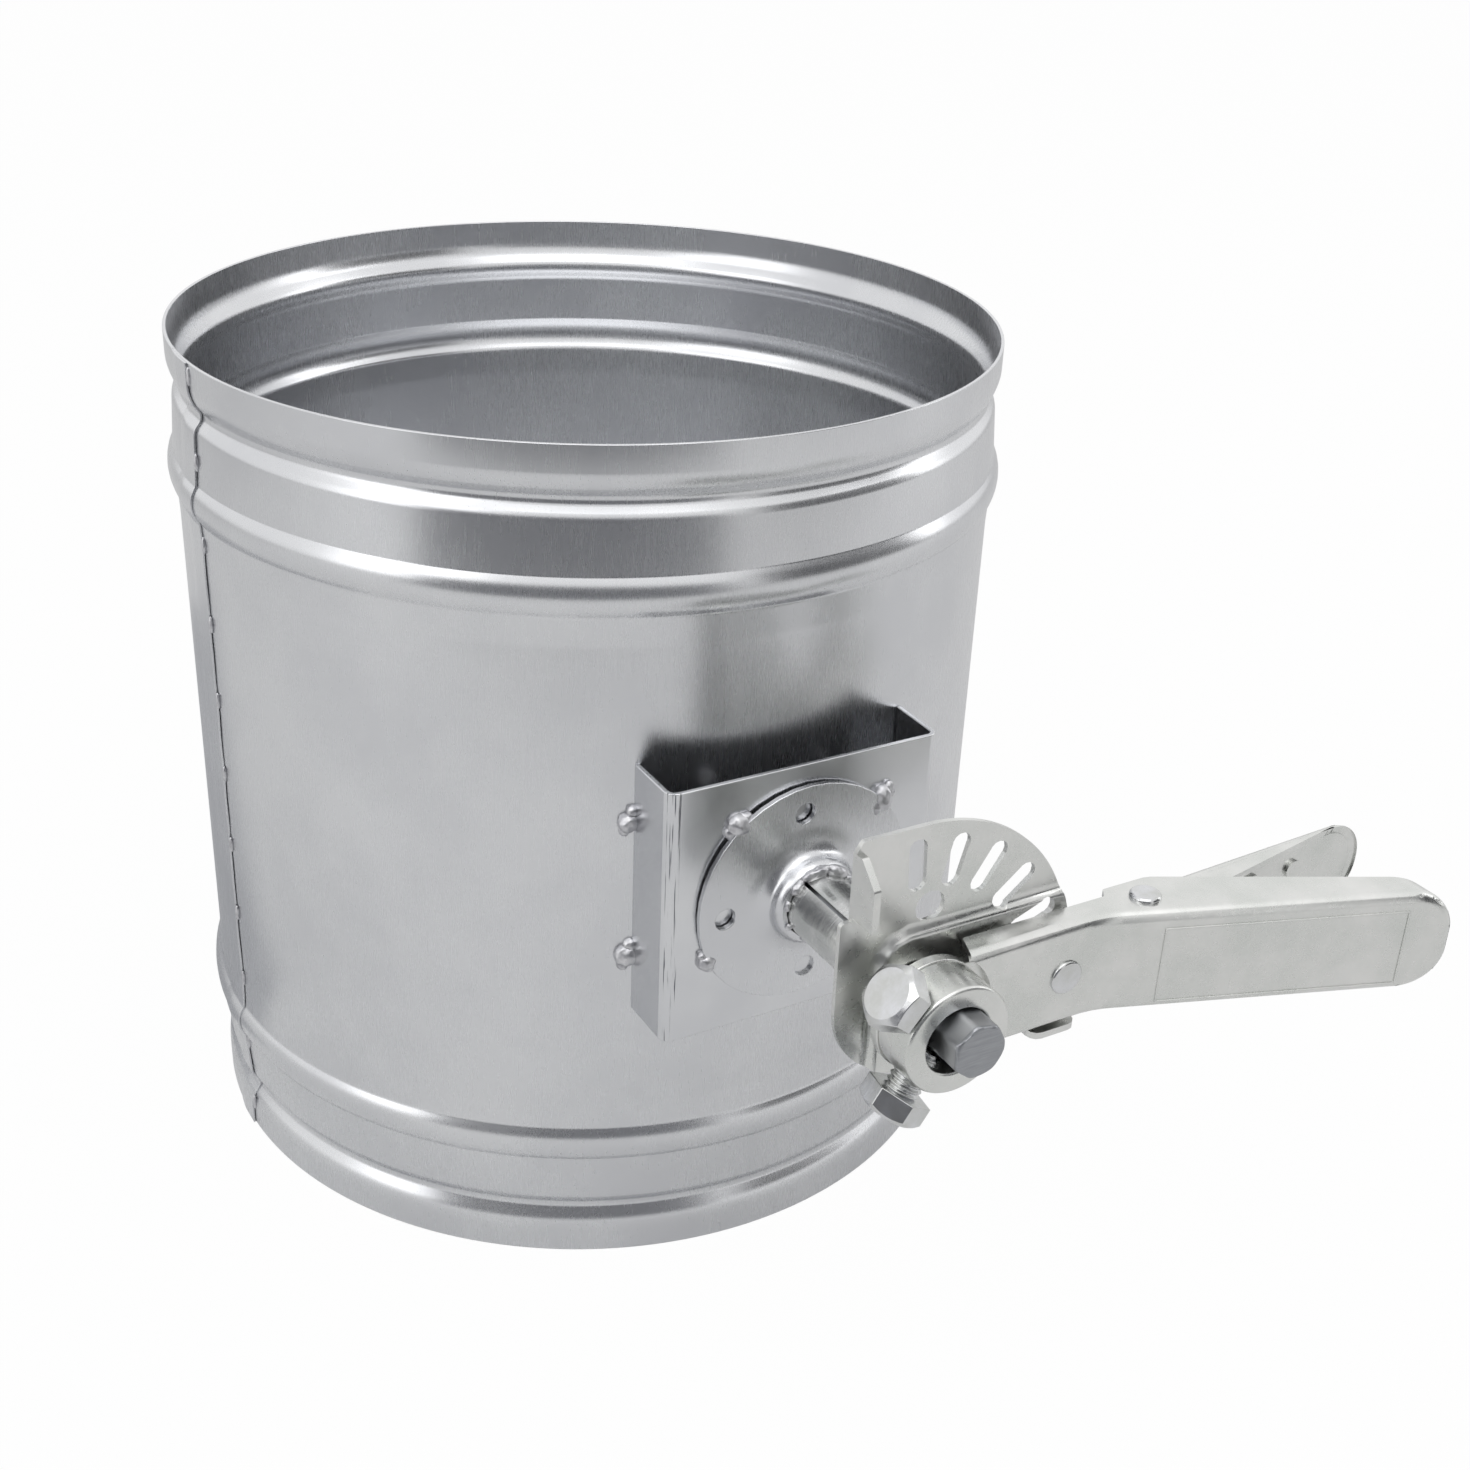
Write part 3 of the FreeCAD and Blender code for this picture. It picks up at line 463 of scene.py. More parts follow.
class DAMPER_OT_duct(bpy.types.Operator):
    """Rolled duct wall with its grooves and beads, and the lapped seam with its spot welds"""
    bl_idname = "damper.duct"
    bl_label = "Duct"

    def execute(self, context):
        duct = context.scene.damper_duct
        finish = finishes()
        self.add_wall(duct, finish["galvanised_sheet"])
        self.add_lap(duct, finish["galvanised_sheet"])
        self.add_spots(duct, finish["weld_metal"])
        return {"FINISHED"}

    def wall_corners(self, duct, offset):
        """Outside of the wall from rim to rim: collar, groove, sloping band, bead, roll mark, plain wall."""
        half = [(0.2, 0.0, 0), (0.2, 8.2, 2.2), (-2.8, 12.6, 1.5), (-0.5, 15.7, 1.0),
                (0.4, 28.2, 0.2), (3.25, 32.8, 4.2), (0.3, 37.3, 0.5), (0.0, 44.0, 0.6)]
        lower = [(duct.radius + rise * MM + offset, height * MM, rounding * MM)
                 for rise, height, rounding in half]
        upper = [(radius, duct.height - height, rounding) for radius, height, rounding in reversed(lower)]
        return lower + upper

    def add_wall(self, duct, finish):
        """Wall from rim to rim, spun from its outline."""
        wall = turned(self.wall_corners(duct, 0), Matrix.Identity(4), duct.steps)
        self.face_outwards(wall)
        piece = show("duct_wall", wall, finish, "carrier", "galvanised_sheet", "duct_body")
        self.thicken(piece, duct.sheet)

    def add_lap(self, duct, finish):
        """Lapped strip over the wall: the outline, divided finely, swept over the lap's width."""
        plain_run = 20 * MM
        rounding_step = 4 * MM
        lap = bmesh.new()
        outline(lap, self.wall_corners(duct, duct.lap_sheet))
        turn = Matrix.Rotation(duct.lap_azimuth - math.pi / 2, 4, "Z")
        bmesh.ops.transform(lap, matrix=turn, verts=lap.verts)
        runs = [edge for edge in lap.edges if edge.calc_length() > plain_run]
        bands = [edge for edge in lap.edges if rounding_step < edge.calc_length() < plain_run]
        bmesh.ops.subdivide_edges(lap, edges=runs, cuts=36)
        bmesh.ops.subdivide_edges(lap, edges=bands, cuts=2)
        bmesh.ops.spin(lap, geom=lap.verts[:] + lap.edges[:], cent=(0, 0, 0), axis=(0, 0, 1),
                       angle=-duct.lap_width / duct.radius, steps=14)
        for vert in lap.verts:
            self.settle(vert, duct)
        bmesh.ops.recalc_face_normals(lap, faces=lap.faces)
        self.face_outwards(lap)
        strip = show("lap_strip", lap, finish, "carrier", "galvanised_sheet")
        self.thicken(strip, duct.lap_sheet)

    def settle(self, vert, duct):
        """Lifts the strip's free edge between spot welds, makes it wavy, and sinks its tail into the wall."""
        edge_zone = 3 * MM
        tail_zone = 5 * MM
        wander = 0.5 * MM
        wander_length = 9 * MM
        behind = (duct.lap_azimuth - math.atan2(vert.co.x, -vert.co.y)) * duct.radius
        edge = max(0, 1 - behind / edge_zone)
        tail = max(0, min(1, (behind - duct.lap_width + tail_zone) / tail_zone))
        spot = abs(math.sin(math.pi * (duct.height - vert.co.z) / duct.spot_spacing)) ** 0.35
        radius = vert.co.xy.length
        plain = max(0, 1 - max(0, radius - duct.radius - duct.lap_sheet) / MM)
        lift = duct.lap_lift * plain * spot * edge ** 2 - 0.9 * duct.lap_sheet * tail
        vert.co.xy *= (radius + lift) / radius
        wave = wander * noise.noise(Vector((3.1, 0.7, vert.co.z / wander_length))) * edge
        vert.co = Matrix.Rotation(wave / radius, 3, "Z") @ vert.co

    def add_spots(self, duct, finish):
        """Spot welds, flat lumps on the lap's free edge from the upper rim down."""
        size = (1.2 * MM, 4.2 * MM, 0.5 * MM)
        first, last = duct.height - 3 * MM, 5 * MM
        past_edge = 0.006
        spots = bmesh.new()
        along = first
        while along > last:
            foot = Vector((0, -duct.radius - 0.3 * MM, along))
            place = Matrix.Rotation(duct.lap_azimuth + past_edge, 4, "Z") @ frame_along(foot, OUTWARDS)
            add_weld_lump(spots, place, size, 0.12 * MM)
            along -= duct.spot_spacing
        show("seam_spots", spots, finish, "carrier", "weld_metal")

    def face_outwards(self, bm):
        """Turns the faces of an open wall away from the duct's axis."""
        bm.normal_update()
        inward = [face for face in bm.faces if face.normal.xy.dot(face.calc_center_median().xy) < 0]
        if len(inward) > len(bm.faces) / 2:
            bmesh.ops.reverse_faces(bm, faces=bm.faces)

    def thicken(self, piece, sheet):
        """Gives an open wall the sheet's thickness, inwards."""
        solid = piece.modifiers.new("sheet", "SOLIDIFY")
        solid.thickness = sheet
        solid.offset = -1
        break_edges(piece, 0.25 * sheet, 2)


class DAMPER_OT_carrier(bpy.types.Operator):
    """Bracket, flange disc, sleeve, rear bush and quadrant that carry the shaft"""
    bl_idname = "damper.carrier"
    bl_label = "Bracket, disc, sleeve and quadrant"

    def execute(self, context):
        sizes = context.scene.damper_fittings
        finish = finishes()
        for node, name, slot in (("mounting_bracket", "scuffed_sheet", "galvanised_sheet"),
                                 ("flange_disc", "galvanised_sheet", "zinc_plated_steel"),
                                 ("shaft_sleeve", "drawn_plate", "zinc_plated_steel"),
                                 ("rear_bush", "drawn_plate", "zinc_plated_steel")):
            solid = solid_copy(node)
            if node == "flange_disc":
                self.raise_neck(solid, sizes)
                self.tilt(solid, sizes.disc_tilt)
            piece = show(f"{node}_finished", solid, finish[name], "carrier", slot, node)
            break_edges(piece, sizes.edge)
        piece = show("quadrant_plate_finished", self.quadrant(), finish["zinc_plate"], "carrier",
                     "zinc_plated_steel", "quadrant_plate")
        break_edges(piece, sizes.edge)
        flatten(piece)
        return {"FINISHED"}

    def quadrant(self):
        """Quadrant with rounded folds, thinned at its hidden rear face."""
        thinning, rounding, hollow, shortest = 0.45 * MM, 0.55 * MM, 1.4 * MM, 1 * MM
        plate = solid_copy("quadrant_plate")
        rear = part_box("quadrant_plate")[1].y
        for vert in plate.verts:
            if rear - vert.co.y < 0.05 * MM:
                vert.co.y -= thinning
        round_folds(plate, rounding, shortest)
        round_folds(plate, hollow, shortest, convex=False)
        return plate

    def raise_neck(self, disc, sizes):
        """Draws the neck's end out along the sleeve and rounds its foot on the disc."""
        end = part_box("flange_disc")[0].y
        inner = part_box("shaft_sleeve")[1].x
        end_zone = 1.5 * MM
        upper = [vert for vert in disc.verts if vert.co.y < end + end_zone]
        outer = max(off_shaft(vert) for vert in upper)
        for vert in upper:
            inwards = min(1, (outer - off_shaft(vert)) / (outer - inner))
            vert.co.y -= sizes.neck_rise + sizes.neck_slope * inwards
        side = {vert for vert in disc.verts if abs(off_shaft(vert) - outer) < 0.1 * MM}
        foot = side.difference(upper)
        ring = [edge for edge in disc.edges if foot.issuperset(edge.verts)]
        rounded = bmesh.ops.bevel(disc, geom=ring, offset=sizes.neck_fillet, affect="EDGES", segments=8,
                                  profile=0.5, material=-1)
        for vert in rounded["verts"]:
            beside = Vector((vert.co.x, 0, vert.co.z - SHAFT_HEIGHT))
            beside *= (sizes.neck_spread - 1) * (1 - outer / beside.length)
            vert.co += beside

    def tilt(self, disc, angle):
        """Leans the disc: it lies tight at its lower right and stands off at its upper left."""
        lifted = Vector((-1, 0, 1)).normalized()
        for vert in disc.verts:
            beside = vert.co - Vector((0, 0, SHAFT_HEIGHT))
            vert.co.y -= beside.dot(lifted) * math.tan(angle)


class DAMPER_OT_welds(bpy.types.Operator):
    """Tack welds of the disc and the bracket, and the bead round the sleeve"""
    bl_idname = "damper.welds"
    bl_label = "Welds"

    def execute(self, context):
        sizes = context.scene.damper_fittings
        finish = finishes()["weld_metal"]
        show("disc_tack_welds", self.disc_tacks(sizes), finish, "carrier", "weld_metal", "disc_tacks")
        legs = self.bracket_tacks(sizes, context.scene.damper_duct)
        show("bracket_tack_welds", legs, finish, "carrier", "weld_metal", "bracket_tacks")
        show("sleeve_weld", self.sleeve_bead(sizes), finish, "carrier", "weld_metal")
        return {"FINISHED"}

    def disc_tacks(self, sizes):
        """Four tacks on the disc's rim, each of three drops."""
        face = -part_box("mounting_bracket")[0].y / MM
        rim = (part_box("flange_disc")[1].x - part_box("flange_disc")[0].x) / 2 / MM
        rise = 2.3
        tacks = bmesh.new()
        for angle, length, width in ((44, 8.0, 4.6), (130, 6.6, 6.2), (206, 5.2, 4.4), (315, 6.4, 5.2)):
            turn = math.radians(angle)
            for step, share in ((0, 1), (0.6, 0.62), (-0.55, 0.7)):
                aside = step * length / 2
                spot = at(rim * math.cos(turn) + aside * math.sin(turn), face + 0.4,
                          rim * math.sin(turn) + aside * abs(math.cos(turn)))
                size = (width * share * MM, length * share * 0.85 * MM, rise * share * MM)
                add_weld_lump(tacks, frame_along(spot, OUTWARDS), size, sizes.weld_roughness)
        return tacks

    def bracket_tacks(self, sizes, duct):
        """Two tacks beside each leg of the bracket, on the wall, each of three drops."""
        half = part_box("mounting_bracket")[1].x / MM
        wall = duct.radius / MM
        beside = 1.3
        rise = 2.4
        legs = bmesh.new()
        for side in (-1, 1):
            for height, width in ((17.5, 4.8), (-17, 5.6)):
                for step, share in ((0, 1), (2.6, 0.6), (-2.2, 0.55)):
                    x = side * (half + beside + 0.3 * step * side)
                    s = math.sqrt(wall ** 2 - x ** 2)
                    out = Vector((x, -s, 0)).normalized()
                    size = (width * share * MM, width * share * MM, rise * share * MM)
                    add_weld_lump(legs, frame_along(at(x, s + 0.2, height + step), out), size,
                                  sizes.weld_roughness)
        return legs

    def sleeve_bead(self, sizes):
        """Broken bead where the sleeve comes out of the disc's neck, thick above and thin below."""
        end = (sizes.neck_rise + sizes.neck_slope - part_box("flange_disc")[0].y) / MM
        radius = 8.5
        roughness = 0.4 * MM
        bead = bmesh.new()
        for angle, length, width in ((100, 7.5, 3.0), (62, 6.5, 3.2), (134, 4.2, 2.4), (28, 4.0, 2.2),
                                     (168, 2.4, 1.8), (206, 2.0, 1.8), (250, 2.6, 1.6), (318, 3.0, 1.8)):
            turn = math.radians(angle)
            spot = at(radius * math.cos(turn), end + 0.1, radius * math.sin(turn))
            place = frame_along(spot, OUTWARDS) @ Matrix.Rotation(turn + math.pi / 2, 4, "Z")
            add_weld_lump(bead, place, (length * MM, width * MM, 0.45 * width * MM), roughness)
        return bead


class DAMPER_OT_hub_and_shaft(bpy.types.Operator):
    """Turned hub, strap and the shaft with its sawn end"""
    bl_idname = "damper.hub_and_shaft"
    bl_label = "Hub, strap and shaft"

    def execute(self, context):
        finish = finishes()
        piece = show("hub_turned", self.hub(), finish["zinc_plate"], "damper", "zinc_plated_steel", "hub")
        break_edges(piece, 0.2 * MM, 2)
        show("shaft_bar", self.shaft(), finish["sawn_bar"], "damper", "bare_steel", "shaft", smooth=25)
        piece = show("strap_finished", solid_copy("strap"), finish["zinc_plate"], "damper",
                     "zinc_plated_steel", "strap")
        break_edges(piece, context.scene.damper_fittings.edge)
        return {"FINISHED"}

    def hub(self):
        """Ring with a wide bore, and a spigot that sits in the strap."""
        low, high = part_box("hub")
        middle = (low + high) / 2
        length = high.y - low.y
        outer = (high.x - low.x) / 2
        bore = 7.65 * MM
        spigot = 9.25 * MM
        shoulder = high.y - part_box("strap")[0].y
        corners = [(bore, 0, 0), (spigot, 0, 0), (spigot, shoulder, 0), (outer, shoulder, 0),
                   (outer, length, 0.9 * MM), (bore, length, 0.7 * MM)]
        return turned(corners, frame_along(Vector((middle.x, high.y, middle.z)), OUTWARDS), 72, closed=True)

    def shaft(self):
        """Round bar, its end dressed to seven uneven flats and sawn off roughly."""
        low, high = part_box("shaft")
        radius = (high.x - low.x) / 2
        length = high.y - low.y
        shaft = turned([(0, 0, 0), (radius, 0, 0.6 * MM), (radius, length, 1.1 * MM), (0, length, 0)],
                       frame_along(Vector((0, high.y, SHAFT_HEIGHT)), OUTWARDS), 64)
        flat = 2 * math.pi / 7
        bump_height, bump_width, cut_back = 0.35 * MM, 4 * MM, 0.3 * MM
        for vert in shaft.verts:
            if vert.co.y < low.y + SAWN_END:
                beside = Vector((vert.co.x, vert.co.z - SHAFT_HEIGHT))
                turn = math.atan2(beside.y, beside.x) % flat - flat / 2
                limit = 1.02 * radius * math.cos(flat / 2) / math.cos(turn)
                if beside.length > limit:
                    beside *= limit / beside.length
                    vert.co.x, vert.co.z = beside.x, beside.y + SHAFT_HEIGHT
                vert.co.y += bump_height * noise.noise(vert.co / bump_width) + cut_back
        return shaft


class DAMPER_OT_set_bolts(bpy.types.Operator):
    """Two hexagon bolts with threads, which press the shaft against the hub"""
    bl_idname = "damper.set_bolts"
    bl_label = "Set bolts"

    def execute(self, context):
        sizes = context.scene.damper_fittings
        low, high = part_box("hub")
        middle_x, middle_z = (low.x + high.x) / 2, (low.z + high.z) / 2
        flats, head = 12.6 * MM, 5.3 * MM
        thread_radius = 3.95 * MM
        tip = 6.6
        for node, angle, seat, turn in (("upper_set_bolt", 139.5, 13.6, 0),
                                        ("lower_set_bolt", 236, 15.8, 45)):
            low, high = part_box(node)
            line = Vector((math.cos(math.radians(angle)), 0, math.sin(math.radians(angle))))
            hub = Vector((middle_x, (low.y + high.y) / 2, middle_z))
            bolt = bmesh.new()
            add_hex_head(bolt, flats, head, frame_along(hub + line * seat * MM, line), sizes.bolt_chamfer,
                         math.radians(turn))
            reach = (seat - tip) * MM
            add_thread(bolt, thread_radius, reach, sizes.thread_pitch,
                       frame_along(hub + line * (seat * MM - reach), line))
            piece = show(f"{node}_threaded", bolt, finishes()["bolt_zinc"], "damper", "bolt_zinc", node,
                         smooth=30)
            break_edges(piece, 0.2 * MM, 2)
        return {"FINISHED"}


class DAMPER_OT_levers(bpy.types.Operator):
    """Main lever with the border of its bare panel, and the squeeze lever behind it"""
    bl_idname = "damper.levers"
    bl_label = "Levers"

    def execute(self, context):
        sizes = context.scene.damper_fittings
        plate = finishes()["zinc_plate"]
        for node, body in (("main_lever", "damper"), ("squeeze_lever", "squeeze")):
            lever = solid_copy(node)
            round_folds(lever, sizes.lever_round, 0.3 * MM)
            piece = show(f"{node}_finished", lever, plate, body, "zinc_plated_steel", node)
            break_edges(piece, sizes.edge)
            flatten(piece)
        piece = show("grip_border", self.border(sizes), plate, "damper", "zinc_plated_steel")
        break_edges(piece, 0.2 * MM, 2)
        return {"FINISHED"}

    def border(self, sizes):
        """Plain rectangular rib round the bare panel, sunk a little into the grip, which leans outwards."""
        length, height, sunk = 56.5 * MM, 18.9 * MM, 0.1 * MM
        lean = math.radians(19)
        bend = at(42, 163.2, -2)
        past_bend = 41.8 * MM
        border = bmesh.new()
        bmesh.ops.create_grid(border, x_segments=1, y_segments=1, size=0.5)
        bmesh.ops.scale(border, verts=border.verts, vec=(length, height, 1))
        bmesh.ops.inset_region(border, faces=border.faces[:], thickness=sizes.border_width, use_boundary=True)
        inner = max(border.faces, key=lambda face: face.calc_area())
        bmesh.ops.delete(border, geom=[inner], context="FACES")
        crest = verts_in(bmesh.ops.extrude_face_region(border, geom=border.faces[:])["geom"])
        bmesh.ops.translate(border, verts=crest, vec=(0, 0, sizes.border_rise + sunk))
        bmesh.ops.recalc_face_normals(border, faces=border.faces)
        along = Vector((math.cos(lean), -math.sin(lean), 0))
        out = Vector((-math.sin(lean), -math.cos(lean), 0))
        place = Matrix((along, UP, out)).transposed().to_4x4()
        place.translation = bend + along * past_bend - out * sunk
        bmesh.ops.transform(border, matrix=place, verts=border.verts)
        return border


class DAMPER_OT_pins(bpy.types.Operator):
    """Lever rivet and pivot pin with upset heads"""
    bl_idname = "damper.pins"
    bl_label = "Rivet and pin"

    def execute(self, context):
        zinc = finishes()["bolt_zinc"]
        for node, shank, head_height, direction in (("lever_rivet", 2.0, 0.7, OUTWARDS),
                                                    ("pivot_pin", 2.5, 1.1, UP)):
            low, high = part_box(node)
            radius = (high.x - low.x) / 2
            length = (high - low).dot(Vector((abs(part) for part in direction)))
            start = (low + high) / 2 - direction * length / 2
            step = head_height * MM
            slope = step / 2
            pin = turned([(0, 0, 0), (radius - slope, 0, slope / 2), (radius, slope, slope / 2),
                          (radius, step, 0), (shank * MM, step, 0), (shank * MM, length - step, 0),
                          (radius, length - step, 0), (radius, length - slope, slope / 2),
                          (radius - slope, length, slope / 2), (0, length, 0)],
                         frame_along(start, direction), 48)
            show(f"{node}_headed", pin, zinc, "damper", "bolt_zinc", node)
        return {"FINISHED"}


class DAMPER_OT_spring(bpy.types.Operator):
    """Torsion spring on the pivot pin, one leg along each lever"""
    bl_idname = "damper.spring"
    bl_label = "Return spring"

    def execute(self, context):
        radius, pitch, turns, leg = 3.3 * MM, 1.6 * MM, 2.5, 12 * MM
        wire_radius = 0.55 * MM
        steps = 32
        start = PIN + Vector((0, radius, -turns * pitch / 2))
        spring = bmesh.new()
        wire = bmesh.ops.create_circle(spring, segments=12, radius=wire_radius)["verts"]
        bmesh.ops.transform(spring, matrix=frame_along(start + Vector((leg, 0, 0)), Vector((-1, 0, 0))),
                            verts=wire)
        loop = list({edge for vert in wire for edge in vert.link_edges})
        bmesh.ops.edgeloop_fill(spring, edges=loop)
        loop = self.add_leg(spring, loop, -leg)
        ring = list({vert for edge in loop for vert in edge.verts})
        made = bmesh.ops.spin(spring, geom=ring + loop, cent=PIN, axis=(0, 0, 1), dvec=(0, 0, pitch / steps),
                              angle=2 * math.pi * turns, steps=round(steps * turns))["geom_last"]
        loop = self.add_leg(spring, edges_in(made), leg)
        bmesh.ops.edgeloop_fill(spring, edges=loop)
        bmesh.ops.remove_doubles(spring, verts=spring.verts, dist=1e-6)
        bmesh.ops.recalc_face_normals(spring, faces=spring.faces)
        piece = show("return_spring_wire", spring, finishes()["spring_wire"], None, "spring_steel",
                     "return_spring")
        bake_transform(piece)
        return {"FINISHED"}

    def add_leg(self, bm, loop, length):
        """Draws a loop of the wire out along X and returns the loop at its end."""
        grown = bmesh.ops.extrude_edge_only(bm, edges=loop)["geom"]
        bmesh.ops.translate(bm, verts=verts_in(grown), vec=(length, 0, 0))
        return edges_in(grown)


class DAMPER_OT_blade(bpy.types.Operator):
    """Butterfly blade with its bolts, washers and nuts"""
    bl_idname = "damper.blade"
    bl_label = "Blade"

    def execute(self, context):
        finish = finishes()
        sizes = context.scene.damper_fittings
        piece = show("blade_finished", solid_copy("blade"), finish["galvanised_sheet"], "damper",
                     "galvanised_sheet", "blade")
        break_edges(piece, sizes.edge)
        for node in ("blade_washers", "blade_nuts"):
            piece = show(f"{node}_finished", solid_copy(node), finish["bolt_zinc"], "damper", "bolt_zinc",
                         node)
            break_edges(piece, sizes.edge, 2)
        low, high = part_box("blade_bolts")
        thread_radius, pitch = 2.95 * MM, 1 * MM
        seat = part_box("blade")[1].z
        flats = high.x - low.x
        spread = high.y - flats / 2
        for name, side, nodes in (("front_blade_bolt", -1, ["blade_bolts"]), ("rear_blade_bolt", 1, [])):
            bolt = bmesh.new()
            head = frame_along(Vector((0, side * spread, seat)), UP)
            add_hex_head(bolt, flats * math.cos(math.pi / 6), high.z - seat, head, sizes.bolt_chamfer)
            tail = frame_along(Vector((0, side * spread, low.z)), UP)
            add_thread(bolt, thread_radius, seat - low.z - pitch, pitch, tail, 24)
            show(name, bolt, finish["bolt_zinc"], "damper", "bolt_zinc", *nodes, smooth=30)
        return {"FINISHED"}


class DAMPER_OT_stage(bpy.types.Operator):
    """Pale floor, soft studio light and the camera at the photograph's place"""
    bl_idname = "damper.stage"
    bl_label = "Stage"

    def execute(self, context):
        scene = context.scene
        stage = scene.damper_stage
        scene.view_settings.view_transform = "Standard"
        self.add_world(scene, stage)
        self.add_floor(stage)
        self.add_cards()
        self.add_lamps(scene, stage)
        self.add_camera(scene, stage)
        return {"FINISHED"}

    def seen(self, tree):
        """1 for what the camera sees directly or in metal and glass."""
        rays = add_node(tree, "ShaderNodeLightPath").outputs
        first = add_node(tree, "ShaderNodeMath", {0: rays["Is Camera Ray"], 1: rays["Is Glossy Ray"]},
                         operation="MAXIMUM")
        return add_node(tree, "ShaderNodeMath", {0: first, 1: rays["Is Transmission Ray"]},
                        operation="MAXIMUM")

    def add_world(self, scene, stage):
        """White room, which lights matt surfaces less than it shows."""
        world = bpy.data.worlds.new("studio")
        world.use_nodes = True
        tree = world.node_tree
        tree.nodes.clear()
        strength = add_node(tree, "ShaderNodeMapRange",
                            {"Value": self.seen(tree), "To Min": stage.fill, "To Max": 1.0})
        light = add_node(tree, "ShaderNodeBackground", {"Color": (1, 1, 1, 1), "Strength": strength})
        add_node(tree, "ShaderNodeOutputWorld", {"Surface": light})
        scene.world = world

    def add_floor(self, stage):
        """Pale paper floor, which the camera sees nearly white."""
        white_share = 0.97
        floor = bmesh.new()
        bmesh.ops.create_grid(floor, x_segments=1, y_segments=1, size=4)
        paper = blank_material("white_paper_floor")
        tree = paper.node_tree
        matt = add_node(tree, "ShaderNodeBsdfDiffuse", {"Color": linear(stage.floor)})
        glow = add_node(tree, "ShaderNodeEmission", {"Color": (1, 1, 1, 1), "Strength": 1.0})
        seen = add_node(tree, "ShaderNodeLightPath").outputs["Is Camera Ray"]
        share = add_node(tree, "ShaderNodeMath", {0: seen, 1: white_share}, operation="MULTIPLY")
        both = add_node(tree, "ShaderNodeMixShader", {0: share, 1: matt, 2: glow})
        add_node(tree, "ShaderNodeOutputMaterial", {"Surface": both})
        new_object("floor", floor, paper)

    def add_cards(self):
        """Grey cards that show only in reflections: two upright ones, and one flat on the floor that is
        painted shadow, the floor's shade behind the duct's left side.
        """
        floor_turn = math.radians(15)
        for name, heading, distance, size, height, colour in (
                ("card_behind_camera", 30, 0.47, (0.69, 0.3), 0.19, "88898D"),
                ("card_at_the_right", -42, 0.78, (0.7, 0.5), 0.38, "4C4D50"),
                # painted shadow: a grey patch on the white floor where the duct's shade falls, seen only in
                # the wall
                ("card_on_the_floor", 148, 0.225, (0.16, 0.3), 0.0005, "BEBFC2")):
            turn = math.radians(heading)
            toward = Vector((-math.sin(turn), -math.cos(turn), 0))
            place = frame_along(toward * distance + UP * height, -toward)
            if name == "card_on_the_floor":
                place = Matrix.Translation(place.translation) @ Matrix.Rotation(floor_turn, 4, "Z")
            sheet = bmesh.new()
            bmesh.ops.create_grid(sheet, x_segments=1, y_segments=1, size=0.5)
            bmesh.ops.scale(sheet, verts=sheet.verts, vec=(*size, 1))
            bmesh.ops.transform(sheet, matrix=place, verts=sheet.verts)
            felt = blank_material(f"grey_felt_{name}")
            matt = add_node(felt.node_tree, "ShaderNodeBsdfDiffuse", {"Color": linear(colour)})
            add_node(felt.node_tree, "ShaderNodeOutputMaterial", {"Surface": matt})
            card = new_object(name, sheet, felt)
            card.visible_camera = False
            card.visible_diffuse = False
            card.visible_shadow = False

    def add_lamps(self, scene, stage):
        """Softboxes overhead and at both sides, which point at the damper's middle."""
        aim = Vector((0, 0, 0.1))
        for name, place, size, power in (
                ("top_softbox", (-0.2, -0.52, 1.5), (1.2, 1.0), stage.top_power),
                ("left_softbox", (-1.25, -0.35, 0.7), (0.9, 1.1), stage.left_power),
                ("right_softbox", (1.25, -0.6, 0.6), (0.7, 0.9), stage.right_power)):
            lamp = bpy.data.lights.new(name, "AREA")
            lamp.shape = "RECTANGLE"
            lamp.size, lamp.size_y = size
            lamp.energy = power
            holder = bpy.data.objects.new(name, lamp)
            holder.location = place
            holder.rotation_euler = (aim - holder.location).to_track_quat("-Z", "Y").to_euler()
            scene.collection.objects.link(holder)

    def add_camera(self, scene, stage):
        """Camera at the photograph's place and angle."""
        view = bpy.data.cameras.new("camera")
        view.sensor_width = 36
        view.lens = stage.camera_lens
        view.clip_start = 0.01
        camera = bpy.data.objects.new("camera", view)
        camera.location = stage.camera_place
        turn = (Matrix.Rotation(-stage.camera_heading, 3, "Z")
                @ Matrix.Rotation(math.pi / 2 - stage.camera_pitch, 3, "X")
                @ Matrix.Rotation(stage.camera_roll, 3, "Z"))
        camera.rotation_euler = turn.to_euler()
        scene.collection.objects.link(camera)
        scene.camera = camera


class DAMPER_PT_panel(bpy.types.Panel):
    """Sizes, finishes and steps of the damper"""
    bl_idname = "DAMPER_PT_panel"
    bl_label = "Stove pipe damper"
    bl_space_type = "VIEW_3D"
    bl_region_type = "UI"
    bl_category = "Damper"

    def draw(self, context):
        scene = context.scene
        for settings in (scene.damper_duct, scene.damper_fittings, scene.damper_colours, scene.damper_stage):
            box = self.layout.box()
            for name in settings.__annotations__:
                box.prop(settings, name)
        for operator in OPERATORS:
            self.layout.operator(operator.bl_idname)


OPERATORS = (DAMPER_OT_duct, DAMPER_OT_carrier, DAMPER_OT_welds, DAMPER_OT_hub_and_shaft, DAMPER_OT_set_bolts,
             DAMPER_OT_levers, DAMPER_OT_pins, DAMPER_OT_spring, DAMPER_OT_blade, DAMPER_OT_stage)
SETTINGS = {"damper_duct": DuctSizes, "damper_fittings": FittingSizes, "damper_colours": FinishColours,
            "damper_stage": StageSettings}


def register():
    for kind in (*SETTINGS.values(), *OPERATORS, DAMPER_PT_panel):
        bpy.utils.register_class(kind)
    for name, kind in SETTINGS.items():
        setattr(bpy.types.Scene, name, PointerProperty(type=kind))


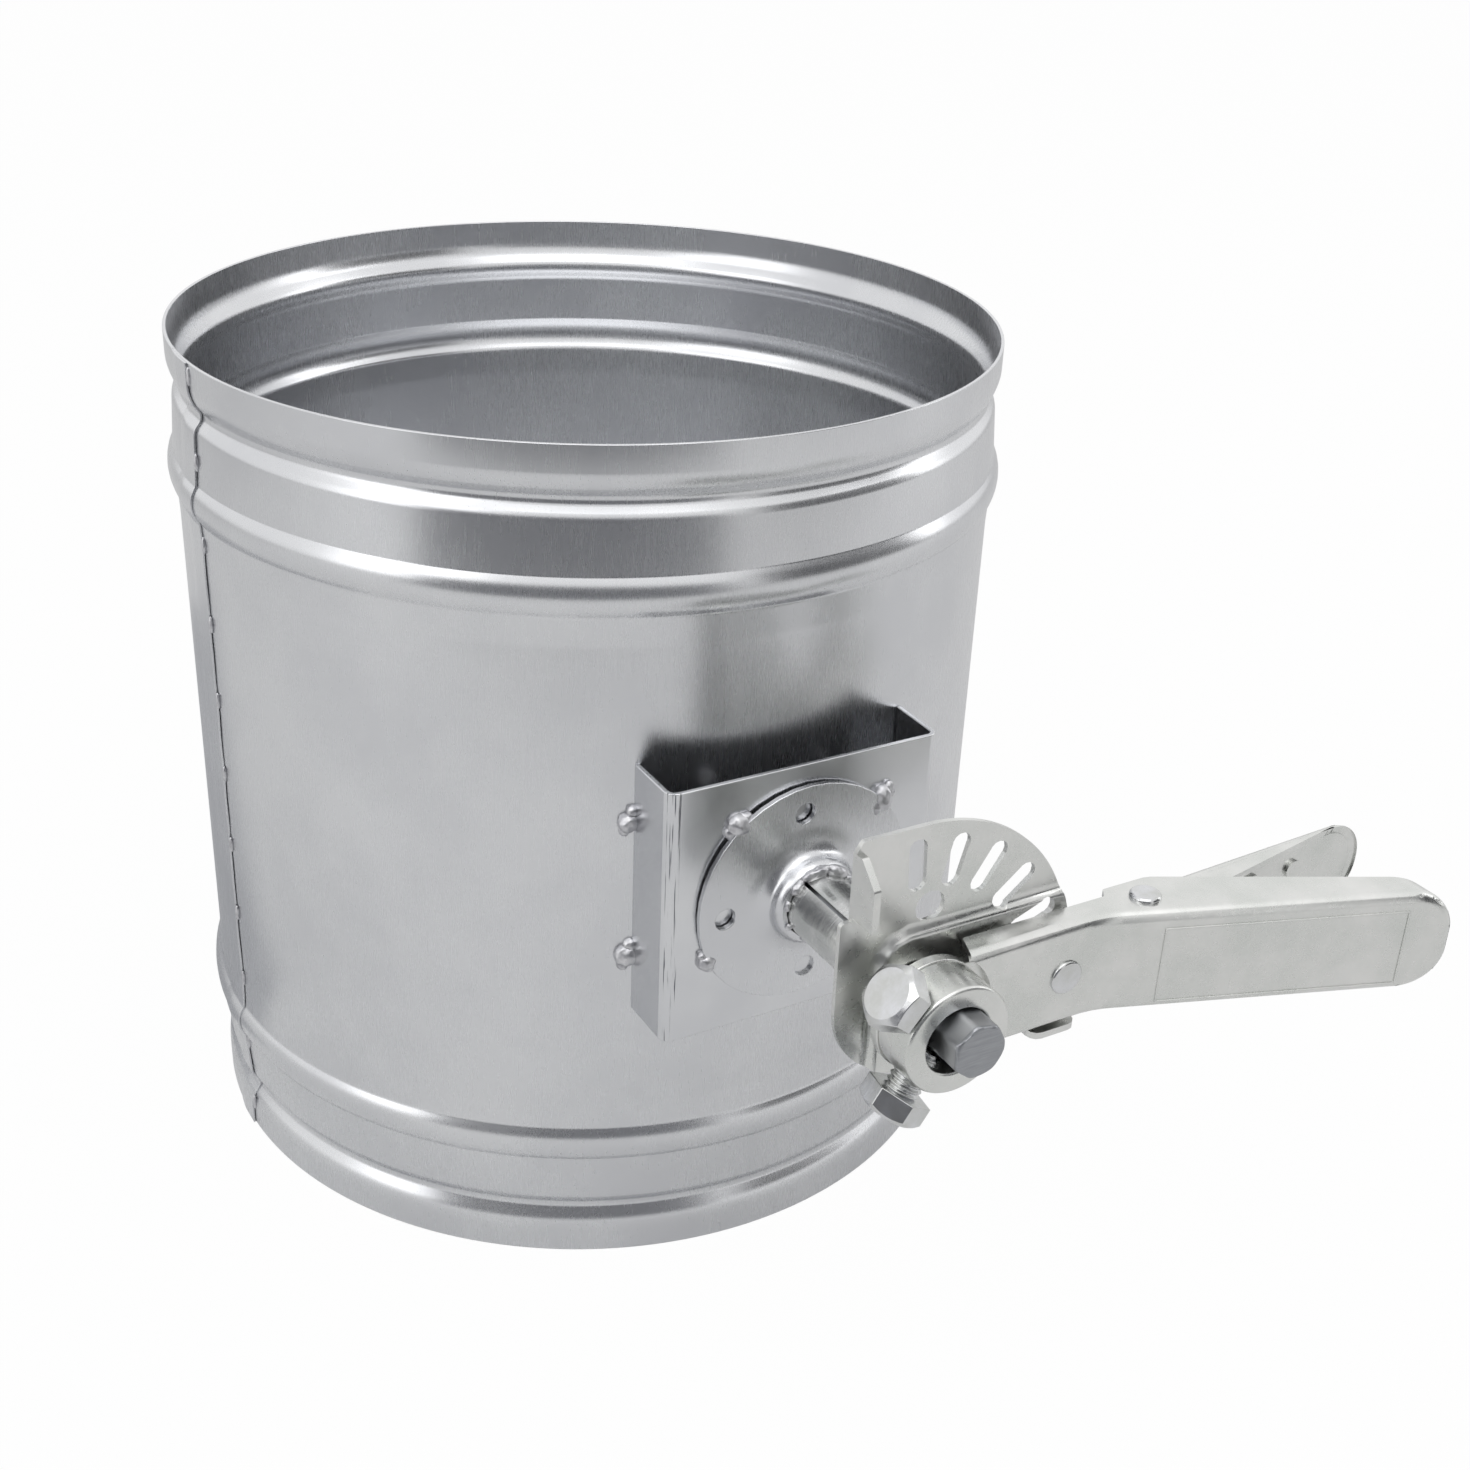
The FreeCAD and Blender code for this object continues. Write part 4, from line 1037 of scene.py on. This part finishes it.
def unregister():
    for name in SETTINGS:
        delattr(bpy.types.Scene, name)
    for kind in reversed((*SETTINGS.values(), *OPERATORS, DAMPER_PT_panel)):
        bpy.utils.unregister_class(kind)


def main():
    register()
    for step in ("duct", "carrier", "welds", "hub_and_shaft", "set_bolts", "levers", "pins", "spring",
                 "blade", "stage"):
        getattr(bpy.ops.damper, step)()


if __name__ == "__main__":
    main()
